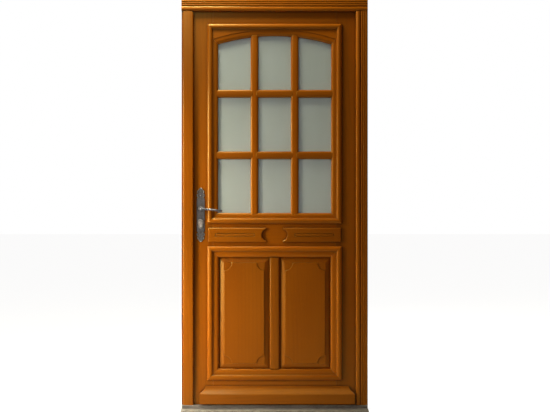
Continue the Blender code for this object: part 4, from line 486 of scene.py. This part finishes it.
metals = {name: metalMaterial(name, look) for name, look in metalLooks.items()}
metalPieces = {
    "agedIron": ["outer_backplate", "inner_backplate"],
    "wornPewter": ["outer_lever", "inner_lever"],
    "satinSteel": ["lock_faceplate", "strike_plate", "latch_bolt", "deadbolt"]
                  + [half + "_hinge_" + str(index) for half in ("frame", "leaf")
                     for index in (1, 2, 3)],
    "zincSteel": ["lock_case", "spindle"],
    "satinNickel": ["cylinder_body", "cylinder_plug"],
    "drawnAluminium": ["threshold"],
}
for metalName, names in metalPieces.items():
    for name in names:
        dress(name, metals[metalName])
print("metal finished,", sum(len(names) for names in metalPieces.values()), "pieces")


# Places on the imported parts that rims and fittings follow
def cornersOf(name):
    low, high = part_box(name)
    return Vector(low), Vector(high)


def middleOf(name):
    low, high = cornersOf(name)
    return (low + high) / 2


plateLow, plateHigh = cornersOf("outer_backplate")
caseLow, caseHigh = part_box("lock_case")
leafBack = caseLow[1] + caseHigh[1]        # the case sits in the middle of the leaf's thickness

# Rims round the cylinder on the backplates: nickel, parted from the iron by a mask
rimLook = {"reach": 0.030, "middle": 0.004, "faceShare": 0.60, "metal": (0.44, 0.40, 0.46),
           "roughness": 0.30}


def platedRim(name):
    material = metals["agedIron"].copy()
    material.name = name
    tree = material.node_tree
    shader = tree.nodes["Principled BSDF"]
    middle = middleOf("cylinder_plug")
    coordinates = addNode(tree, "ShaderNodeTexCoord")
    apart = addNode(tree, "ShaderNodeVectorMath", operation="SUBTRACT")
    link(tree, coordinates.outputs["Object"], apart.inputs[0])
    apart.inputs[1].default_value = (middle.x, middle.y, middle.z - rimLook["middle"])
    distance = addNode(tree, "ShaderNodeVectorMath", operation="LENGTH")
    link(tree, stretched(tree, apart.outputs[0], (1.0, 0.0, 1.0)), distance.inputs[0])
    faceDepth = (plateHigh.y - plateLow.y) * rimLook["faceShare"]
    side = addNode(tree, "ShaderNodeSeparateXYZ")
    link(tree, coordinates.outputs["Object"], side.inputs[0])
    centre = leafBack / 2
    away = math2(tree, "ABSOLUTE", math2(tree, "SUBTRACT", side.outputs["Y"], centre), 0.0)
    proud = math2(tree, "GREATER_THAN", away, centre - plateHigh.y + faceDepth)
    near = math2(tree, "LESS_THAN", distance.outputs["Value"], rimLook["reach"])
    mask = math2(tree, "MULTIPLY", proud, near)
    finish = tree.nodes["finish"]
    colour = mixColour(tree, mask, finish.outputs["Color"], rimLook["metal"])
    link(tree, colour, shader.inputs["Base Color"])
    rough = addNode(tree, "ShaderNodeMix", data_type="FLOAT")
    link(tree, mask, rough.inputs[0])
    link(tree, math2(tree, "ADD", finish.outputs["Gloss"], metalLooks["agedIron"]["roughness"]),
         rough.inputs[2])
    rough.inputs[3].default_value = rimLook["roughness"]
    link(tree, rough.outputs[0], shader.inputs["Roughness"])
    return material


rimmedIron = platedRim("rimmedIron")
for name in metalPieces["agedIron"]:
    dress(name, rimmedIron)

# Extruded rubber of the seals: dusty black with a fine skin
rubberLook = {"black": (0.018, 0.018, 0.019), "dust": (0.085, 0.078, 0.070), "roughness": 0.62,
              "film": (30.0, 30.0, 12.0), "skin": (900.0, 900.0, 900.0), "dullness": (0.50, 0.78),
              "bump": 0.2, "depth": 0.0002}


def rubberMaterial(name):
    material, tree, shader = startMaterial(name, rubberLook["black"], rubberLook["roughness"])
    place = objectPlace(tree)
    film = noise(tree, place, rubberLook["film"], 5.0, 0.7)
    skin = noise(tree, place, rubberLook["skin"])
    dusty = mapRange(tree, film, 0.45, 0.75, 0.0, 0.6, True)
    link(tree, mixColour(tree, dusty, rubberLook["black"], rubberLook["dust"]),
         shader.inputs["Base Color"])
    dull = mapRange(tree, film, 0.3, 0.7, *rubberLook["dullness"])
    link(tree, dull, shader.inputs["Roughness"])
    addBump(tree, shader, skin, rubberLook["bump"], rubberLook["depth"])
    return material


rubber = rubberMaterial("sealRubber")
for name in ("frame_seal", "threshold_seal"):
    dress(name, rubber)

# Sealed unit: satin-etched outer pane, clear inner pane, perforated spacer
refraction = 1.5
etchedLook = {"tint": (0.79, 0.84, 0.90), "cloudy": (0.69, 0.74, 0.77), "roughness": 0.52,
              "ground": (0.44, 0.62), "transmission": 0.30, "cloud": (2.6, 2.6, 1.4),
              "etch": (520.0, 520.0, 520.0), "bump": 0.25, "depth": 0.0003}
clearLook = {"tint": (0.80, 0.86, 0.82), "hazy": (0.70, 0.72, 0.68), "roughness": 0.04,
             "smeared": (0.03, 0.12), "waves": (5.0, 5.0, 5.0), "film": (9.0, 9.0, 6.0),
             "bump": 0.04, "depth": 0.002}
spacerLook = {"metal": (0.62, 0.62, 0.61), "brushed": (0.40, 0.40, 0.40),
              "hole": (0.05, 0.05, 0.05), "pitch": (260.0, 260.0, 260.0),
              "lines": (500.0, 500.0, 12.0), "roughness": 0.36, "bump": 0.2, "depth": 0.0003}


def etchedGlass(name):
    material, tree, shader = startMaterial(name, etchedLook["tint"], etchedLook["roughness"])
    place = objectPlace(tree)
    cloud = noise(tree, place, etchedLook["cloud"], 3.0)
    etch = noise(tree, place, etchedLook["etch"], 3.0, 0.7)
    link(tree, mixColour(tree, mapRange(tree, cloud, 0.3, 0.7), etchedLook["tint"],
                         etchedLook["cloudy"]), shader.inputs["Base Color"])
    link(tree, mapRange(tree, etch, 0.3, 0.7, *etchedLook["ground"]), shader.inputs["Roughness"])
    shader.inputs["IOR"].default_value = refraction
    shader.inputs["Transmission Weight"].default_value = etchedLook["transmission"]
    addBump(tree, shader, etch, etchedLook["bump"], etchedLook["depth"])
    return material


def clearGlass(name):
    material, tree, shader = startMaterial(name, clearLook["tint"], clearLook["roughness"])
    place = objectPlace(tree)
    waves = noise(tree, place, clearLook["waves"])
    film = noise(tree, place, clearLook["film"], 5.0, 0.6)
    link(tree, mapRange(tree, film, 0.4, 0.8, *clearLook["smeared"]), shader.inputs["Roughness"])
    link(tree, mixColour(tree, mapRange(tree, film, 0.5, 0.8, 0.0, 0.15), clearLook["tint"],
                         clearLook["hazy"]), shader.inputs["Base Color"])
    shader.inputs["IOR"].default_value = refraction
    shader.inputs["Transmission Weight"].default_value = 1.0
    addBump(tree, shader, waves, clearLook["bump"], clearLook["depth"])
    return material


def spacerMaterial(name):
    material, tree, shader = startMaterial(name, spacerLook["metal"], spacerLook["roughness"], 1.0)
    place = objectPlace(tree)
    # Painted shade: near-black dots stand in for the perforations, which are not cut
    holes = addNode(tree, "ShaderNodeTexVoronoi", feature="F1", Scale=1.0, Randomness=0.0)
    link(tree, stretched(tree, place, spacerLook["pitch"]), holes.inputs["Vector"])
    mask = mapRange(tree, holes.outputs["Distance"], 0.12, 0.18, 1.0, 0.0)
    lines = noise(tree, place, spacerLook["lines"])
    metal = mixColour(tree, mapRange(tree, lines, 0.3, 0.7, 0.0, 0.3), spacerLook["metal"],
                      spacerLook["brushed"])
    link(tree, mixColour(tree, mask, metal, spacerLook["hole"]), shader.inputs["Base Color"])
    relief = math2(tree, "SUBTRACT", lines, mask)
    addBump(tree, shader, relief, spacerLook["bump"], spacerLook["depth"])
    return material


dress("outer_pane", etchedGlass("etchedPane"))
dress("inner_pane", clearGlass("clearPane"))
dress("glass_spacer", spacerMaterial("spacerBar"))
print("seals and glass finished")


# Small fittings: one model of each kind, copied with its own mesh to every place
def pickOnly(piece):
    bpy.ops.object.select_all(action="DESELECT")
    piece.select_set(True)
    bpy.context.view_layer.objects.active = piece


def copyOf(model):
    piece = model.copy()
    piece.data = model.data.copy()
    scene.collection.objects.link(piece)
    return piece


def finishPiece(piece, name, material, body, location, turn):
    piece.name = name
    piece.data.name = name
    piece.location = location
    piece.rotation_euler = turn
    pickOnly(piece)
    bpy.ops.object.transform_apply(location=True, rotation=True, scale=True)
    piece.data.materials.clear()
    piece.data.materials.append(material)
    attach(piece, body)


def placeCopies(model, name, material, places):
    for index, (body, location, turn) in enumerate(places):
        piece = copyOf(model)
        finishPiece(piece, name + str(index + 1), material, body, location, turn)
    bpy.data.objects.remove(model)
    print(name, "placed,", len(places), "pieces")


# Ball flattened to its rise and cut to its upper half: the blank of a screw head and of a pearl
def modelDome(look):
    bpy.ops.object.select_all(action="DESELECT")
    bpy.ops.mesh.primitive_uv_sphere_add(segments=look["segments"], ring_count=look["rings"],
                                         radius=look["radius"])
    dome = bpy.context.object
    bpy.ops.object.mode_set(mode="EDIT")
    bpy.ops.mesh.select_all(action="SELECT")
    bpy.ops.transform.resize(value=(1.0, 1.0, look["rise"] / look["radius"]))
    bpy.ops.mesh.bisect(plane_co=(0, 0, 0), plane_no=(0, 0, 1), clear_inner=True, use_fill=True)
    bpy.ops.object.mode_set(mode="OBJECT")
    return dome


# Wood screws: heads face along the model's own Z, with a slot across them
screwShape = {"segments": 28, "rings": 16, "smooth": 35}
screwLooks = {
    "plateScrew": {"radius": 0.0034, "rise": 0.0015, "slot": 0.0009, "cut": 0.0009},
    "flatScrew": {"radius": 0.0040, "rise": 0.0006, "slot": 0.0010, "cut": 0.0005},
    "sillScrew": {"radius": 0.0048, "rise": 0.0012, "slot": 0.0011, "cut": 0.0008},
}


def modelScrew(look):
    head = modelDome({**screwShape, **look})
    bpy.ops.mesh.primitive_cube_add(size=1.0, location=(0, 0, look["rise"]))
    blade = bpy.context.object
    blade.scale = (3 * look["radius"], look["slot"], 2 * look["cut"])
    slotCut = head.modifiers.new("slotCut", "BOOLEAN")
    slotCut.operation = "DIFFERENCE"
    slotCut.object = blade
    bpy.context.view_layer.objects.active = head
    bpy.ops.object.modifier_apply(modifier="slotCut")
    bpy.data.objects.remove(blade)
    pickOnly(head)
    bpy.ops.object.shade_smooth_by_angle(angle=math.radians(screwShape["smooth"]))
    return head


# Screws of the backplates, at the foot of each lobed end
faceOut = math.radians(90)
plateSpots = {"face": -0.0035, "fromTop": 0.039, "fromBottom": 0.039,
              "outerTurn": 20, "innerTurn": -35}
plateFace = plateSpots["face"]
plateScrewPlaces = []
for face, turn in ((plateFace, (faceOut, 0, math.radians(plateSpots["outerTurn"]))),
                   (leafBack - plateFace, (-faceOut, 0, math.radians(plateSpots["innerTurn"])))):
    middle = (plateLow.x + plateHigh.x) / 2
    for height in (plateHigh.z - plateSpots["fromTop"], plateLow.z + plateSpots["fromBottom"]):
        plateScrewPlaces.append(("leaf", (middle, face, height), turn))
placeCopies(modelScrew(screwLooks["plateScrew"]), "plateScrew", metals["wornPewter"],
            plateScrewPlaces)

# Hinge screws: four in each plate, on both sides of the gap between leaf and jamb
hingeNames = ["leaf_hinge_1", "leaf_hinge_2", "leaf_hinge_3"]
hingeSpots = {"fromBack": 0.017, "stagger": 0.007, "rises": (-0.054, -0.020, 0.020, 0.054),
              "leafFace": 0.441, "frameFace": 0.443, "sink": 0.0003, "leafTurn": 0.3,
              "frameTurn": 0.5}
hingeScrewPlaces = []
for hingeName in hingeNames:
    height = middleOf(hingeName).z
    for index, rise in enumerate(hingeSpots["rises"]):
        depth = leafBack - hingeSpots["fromBack"] + (index % 2 * 2 - 1) * hingeSpots["stagger"]
        sink = hingeSpots["sink"]
        hingeScrewPlaces.append(("leaf", (hingeSpots["leafFace"] - sink, depth, height + rise),
                                 (0, faceOut, hingeSpots["leafTurn"] * index)))
        hingeScrewPlaces.append(("frame", (hingeSpots["frameFace"] + sink, depth, height + rise),
                                 (0, -faceOut, hingeSpots["frameTurn"] * index)))
placeCopies(modelScrew(screwLooks["flatScrew"]), "hingeScrew", metals["satinSteel"],
            hingeScrewPlaces)

# Screws of the faceplate and of the strike plate
faceLow, faceHigh = cornersOf("lock_faceplate")
strikeLow, strikeHigh = cornersOf("strike_plate")
lockSpots = {"fromEnd": 0.010, "sink": 0.0003, "leafTurn": 0.6, "frameTurn": 0.9}
lockScrewPlaces = []
for height in (faceLow.z + lockSpots["fromEnd"], faceHigh.z - lockSpots["fromEnd"]):
    spot = (faceLow.x + lockSpots["sink"], (faceLow.y + faceHigh.y) / 2, height)
    lockScrewPlaces.append(("leaf", spot, (0, -faceOut, lockSpots["leafTurn"])))
for height in (strikeLow.z + lockSpots["fromEnd"], strikeHigh.z - lockSpots["fromEnd"]):
    spot = (strikeHigh.x - lockSpots["sink"], (strikeLow.y + strikeHigh.y) / 2, height)
    lockScrewPlaces.append(("frame", spot, (0, faceOut, lockSpots["frameTurn"])))
placeCopies(modelScrew(screwLooks["flatScrew"]), "lockScrew", metals["satinSteel"],
            lockScrewPlaces)

# Screws that hold the threshold, in its low inner floor
sillSpots = {"floor": 0.0078, "depth": 0.030, "acrossShares": (-0.42, 0.0, 0.42),
             "firstTurn": 0.5}
sillLow, sillHigh = cornersOf("threshold")
sillPlaces = []
for share in sillSpots["acrossShares"]:
    spot = (share * (sillHigh.x - sillLow.x), sillSpots["depth"], sillSpots["floor"])
    sillPlaces.append(("frame", spot, (0, 0, sillSpots["firstTurn"] + share)))
placeCopies(modelScrew(screwLooks["sillScrew"]), "sillScrew", metals["satinSteel"],
            sillPlaces)

# Row of small pearls round the lobed ends of both backplates
pearlLook = {"radius": 0.0019, "rise": 0.0013, "sink": 0.0002, "lobe": 0.056,
             "segments": 12, "rings": 8, "smooth": 50,
             "spots": ((0.60, 0.15), (0.83, 0.22), (0.86, 0.32), (0.80, 0.41), (0.72, 0.58),
                       (0.75, 0.67), (0.66, 0.74), (0.35, 0.86), (0.18, 0.94), (0.0, 0.955))}


def pearlRow(model, name, face, outward):
    row = []
    for share, rise in pearlLook["spots"]:
        for side in ((-1, 1) if share else (1,)):
            across = (plateLow.x + plateHigh.x + side * share * (plateHigh.x - plateLow.x)) / 2
            inward = (1 - rise) * pearlLook["lobe"]
            for height in (plateHigh.z - inward, plateLow.z + inward):
                pearl = copyOf(model)
                pearl.location = (across, face - outward * pearlLook["sink"], height)
                pearl.rotation_euler = (-outward * faceOut, 0, 0)
                row.append(pearl)
    bpy.ops.object.select_all(action="DESELECT")
    for pearl in row:
        pearl.select_set(True)
    bpy.context.view_layer.objects.active = row[0]
    bpy.ops.object.join()
    finishPiece(row[0], name, metals["brightPearl"], "leaf", row[0].location,
                row[0].rotation_euler)


pearlModel = modelDome(pearlLook)
bpy.ops.object.shade_smooth_by_angle(angle=math.radians(pearlLook["smooth"]))
pearlRow(pearlModel, "outerPearls", plateFace, -1)
pearlRow(pearlModel, "innerPearls", leafBack - plateFace, 1)
bpy.data.objects.remove(pearlModel)
print("pearls placed on both backplates")

# Turned tips on the hinge knuckles, one up on the leaf half and one down on the frame half
tipLook = {"radius": 0.0062, "neck": 0.0038, "height": 0.0105, "neckShare": 0.12,
           "knobShare": 0.55, "knobFrom": -50, "knobSweep": 140, "knobSteps": 8, "steps": 28,
           "weld": 0.00001, "smooth": 40}


def modelTip(look):
    radius = look["radius"]
    height = look["height"]
    outline = [(0.0, 0.0), (look["neck"], 0.0), (look["neck"], look["neckShare"] * height)]
    for step in range(look["knobSteps"] + 1):
        turn = math.radians(look["knobFrom"] + look["knobSweep"] * step / look["knobSteps"])
        rise = look["knobShare"] + (1 - look["knobShare"]) * math.sin(turn)
        outline.append((radius * math.cos(turn), rise * height))
    mesh = bpy.data.meshes.new("hingeTip")
    mesh.from_pydata([(across, 0.0, up) for across, up in outline],
                     [(index, index + 1) for index in range(len(outline) - 1)], [])
    tip = bpy.data.objects.new("hingeTip", mesh)
    scene.collection.objects.link(tip)
    pickOnly(tip)
    bpy.ops.object.mode_set(mode="EDIT")
    bpy.ops.mesh.select_all(action="SELECT")
    bpy.ops.mesh.spin(steps=look["steps"], angle=2 * math.pi, center=(0, 0, 0), axis=(0, 0, 1))
    bpy.ops.mesh.select_all(action="SELECT")
    bpy.ops.mesh.remove_doubles(threshold=look["weld"])
    bpy.ops.mesh.normals_make_consistent(inside=False)
    bpy.ops.object.mode_set(mode="OBJECT")
    bpy.ops.object.shade_smooth_by_angle(angle=math.radians(look["smooth"]))
    return tip


tipPlaces = []
for hingeName in hingeNames:
    leafLow, leafHigh = cornersOf(hingeName)
    frameLow, frameHigh = cornersOf(hingeName.replace("leaf", "frame"))
    across = (leafLow.x + leafHigh.x) / 2
    depth = leafHigh.y - (leafHigh.x - leafLow.x) / 2
    tipPlaces.append(("leaf", (across, depth, leafHigh.z), (0, 0, 0)))
    tipPlaces.append(("frame", (across, depth, frameLow.z), (math.pi, 0, 0)))
placeCopies(modelTip(tipLook), "hingeTip", metals["satinSteel"], tipPlaces)


# Smooth shading of the round profiles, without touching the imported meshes: edges that turn less
# than the limit, in degrees, are smooth, and the mitres of the raised panels stay crisp
smoothLook = {"limit": 34, "crispLimit": 17, "crisp": ("left_panel", "right_panel"),
              "weld": 0.00001}


def makeSmoothGroup(limit):
    group = bpy.data.node_groups.new("smoothRoundEdges", "GeometryNodeTree")
    group.interface.new_socket(name="Geometry", in_out="INPUT", socket_type="NodeSocketGeometry")
    group.interface.new_socket(name="Geometry", in_out="OUTPUT", socket_type="NodeSocketGeometry")
    start = group.nodes.new("NodeGroupInput")
    end = group.nodes.new("NodeGroupOutput")
    merge = group.nodes.new("GeometryNodeMergeByDistance")
    merge.inputs["Distance"].default_value = smoothLook["weld"]
    angle = group.nodes.new("GeometryNodeInputMeshEdgeAngle")
    compare = group.nodes.new("FunctionNodeCompare")
    compare.operation = "LESS_THAN"
    compare.inputs[1].default_value = math.radians(limit)
    faces = group.nodes.new("GeometryNodeSetShadeSmooth")
    faces.domain = "FACE"
    edges = group.nodes.new("GeometryNodeSetShadeSmooth")
    edges.domain = "EDGE"
    link(group, start.outputs[0], merge.inputs["Geometry"])
    link(group, merge.outputs["Geometry"], faces.inputs["Geometry"])
    link(group, faces.outputs["Geometry"], edges.inputs["Geometry"])
    link(group, angle.outputs["Unsigned Angle"], compare.inputs[0])
    link(group, compare.outputs["Result"], edges.inputs["Shade Smooth"])
    link(group, edges.outputs["Geometry"], end.inputs[0])
    return group


smoothGroup = makeSmoothGroup(smoothLook["limit"])
crispGroup = makeSmoothGroup(smoothLook["crispLimit"])
for name, node in nodes.items():
    modifier = node.modifiers.new("smoothRoundEdges", "NODES")
    modifier.node_group = crispGroup if name in smoothLook["crisp"] else smoothGroup
print("round profiles shaded smooth")


# Camera, square-on to the door at the height of its middle
cameraLook = {"distance": 4.5, "across": 0.002, "height": 1.072, "width": 2.904, "sensor": 36.0,
              "farthest": 100.0}
bpy.ops.object.camera_add(location=(cameraLook["across"], -cameraLook["distance"],
                                    cameraLook["height"]), rotation=(math.radians(90), 0, 0))
camera = bpy.context.object
camera.name = "photoCamera"
camera.data.sensor_width = cameraLook["sensor"]
camera.data.lens = cameraLook["sensor"] * cameraLook["distance"] / cameraLook["width"]
camera.data.clip_end = cameraLook["farthest"]
scene.camera = camera

# Studio: pale floor, soft lamps at the left, others above the head of the door, one behind it
studioLook = {
    "worldStrength": 0.022,                # light of the world on the door
    "worldTint": (1.0, 0.70, 0.50),
    "shineStrength": 0.04,                 # share of the pale backdrop seen in gloss
    "floorSize": 40.0,
    "floorPlace": (0.0, 8.0, 0.0),
    "floorColour": (0.62, 0.62, 0.62),
    "floorRoughness": 0.9,
    "floorGlow": 0.95,
    "lamps": {
        "keyLamp": {"place": (-1.60, -0.70, 1.18), "size": 0.40, "tall": 1.40, "energy": 4.45,
                    "colour": (1.0, 0.93, 0.64), "target": (-0.69, 0.0, 0.92), "spread": 48},
        "lowLamp": {"place": (-1.20, -0.85, 0.70), "size": 0.32, "tall": 0.50, "energy": 1.2,
                    "colour": (1.0, 0.88, 0.56), "target": (-0.64, 0.0, 0.22), "spread": 66},
        "cornerLamp": {"place": (-0.85, -0.12, 2.80), "size": 0.60, "tall": 0.14, "energy": 7.5,
                       "colour": (1.0, 1.0, 0.64), "target": (-0.35, 0.0, 1.90), "spread": 180},
        "highLamp": {"place": (-1.20, -2.20, 2.75), "size": 0.90, "tall": 0.50, "energy": 2.3,
                     "colour": (1.0, 1.0, 0.80), "target": (-0.45, 0.0, 2.10), "spread": 120},
        "crownLamp": {"place": (-0.66, -0.15, 3.20), "size": 1.10, "tall": 0.20, "energy": 38.0,
                      "colour": (1.0, 0.98, 0.60), "target": (-0.4, 0.0, 1.6), "spread": 180},
        "backLamp": {"place": (-1.60, 2.30, 1.80), "size": 1.80, "tall": 1.20, "energy": 45.0,
                     "colour": (1.0, 0.97, 0.90), "target": (0.0, 0.0, 1.0), "spread": 180},
    },
}


def addLamp(name, look):
    bpy.ops.object.light_add(type="AREA", location=look["place"])
    lamp = bpy.context.object
    lamp.name = name
    lamp.data.shape = "RECTANGLE"
    lamp.data.size = look["size"]
    lamp.data.size_y = look["tall"]
    lamp.data.energy = look["energy"]
    lamp.data.color = look["colour"]
    lamp.data.spread = math.radians(look["spread"])
    away = Vector(look["place"]) - Vector(look["target"])
    lamp.rotation_euler = away.to_track_quat("Z", "Y").to_euler()


for lampName, lampLook in studioLook["lamps"].items():
    addLamp(lampName, lampLook)


def backdropMask(tree):
    path = addNode(tree, "ShaderNodeLightPath")
    shine = math2(tree, "MULTIPLY", path.outputs["Is Glossy Ray"], studioLook["shineStrength"])
    shown = math2(tree, "MAXIMUM", path.outputs["Is Camera Ray"], shine)
    return math2(tree, "MAXIMUM", shown, path.outputs["Is Transmission Ray"])


world = bpy.data.worlds.new("studioWorld")
scene.world = world
world.use_nodes = True
worldTree = world.node_tree
background = worldTree.nodes["Background"]
tinted = mixColour(worldTree, backdropMask(worldTree), studioLook["worldTint"], (1.0, 1.0, 1.0))
link(worldTree, tinted, background.inputs["Color"])
strength = mapRange(worldTree, backdropMask(worldTree), 0.0, 1.0, studioLook["worldStrength"], 1.0)
link(worldTree, strength, background.inputs["Strength"])

bpy.ops.mesh.primitive_plane_add(size=studioLook["floorSize"], location=studioLook["floorPlace"])
floor = bpy.context.object
floor.name = "studioFloor"
floorMaterial, floorTree, floorShader = startMaterial("paleFloor", studioLook["floorColour"],
                                                      studioLook["floorRoughness"])
floorShader.inputs["Specular IOR Level"].default_value = 0.0
floorShader.inputs["Emission Color"].default_value = (1.0, 1.0, 1.0, 1.0)
glow = mapRange(floorTree, backdropMask(floorTree), 0.0, 1.0, 0.0, studioLook["floorGlow"])
link(floorTree, glow, floorShader.inputs["Emission Strength"])
floor.data.materials.append(floorMaterial)
scene.view_settings.view_transform = "Standard"
print("camera and studio set")
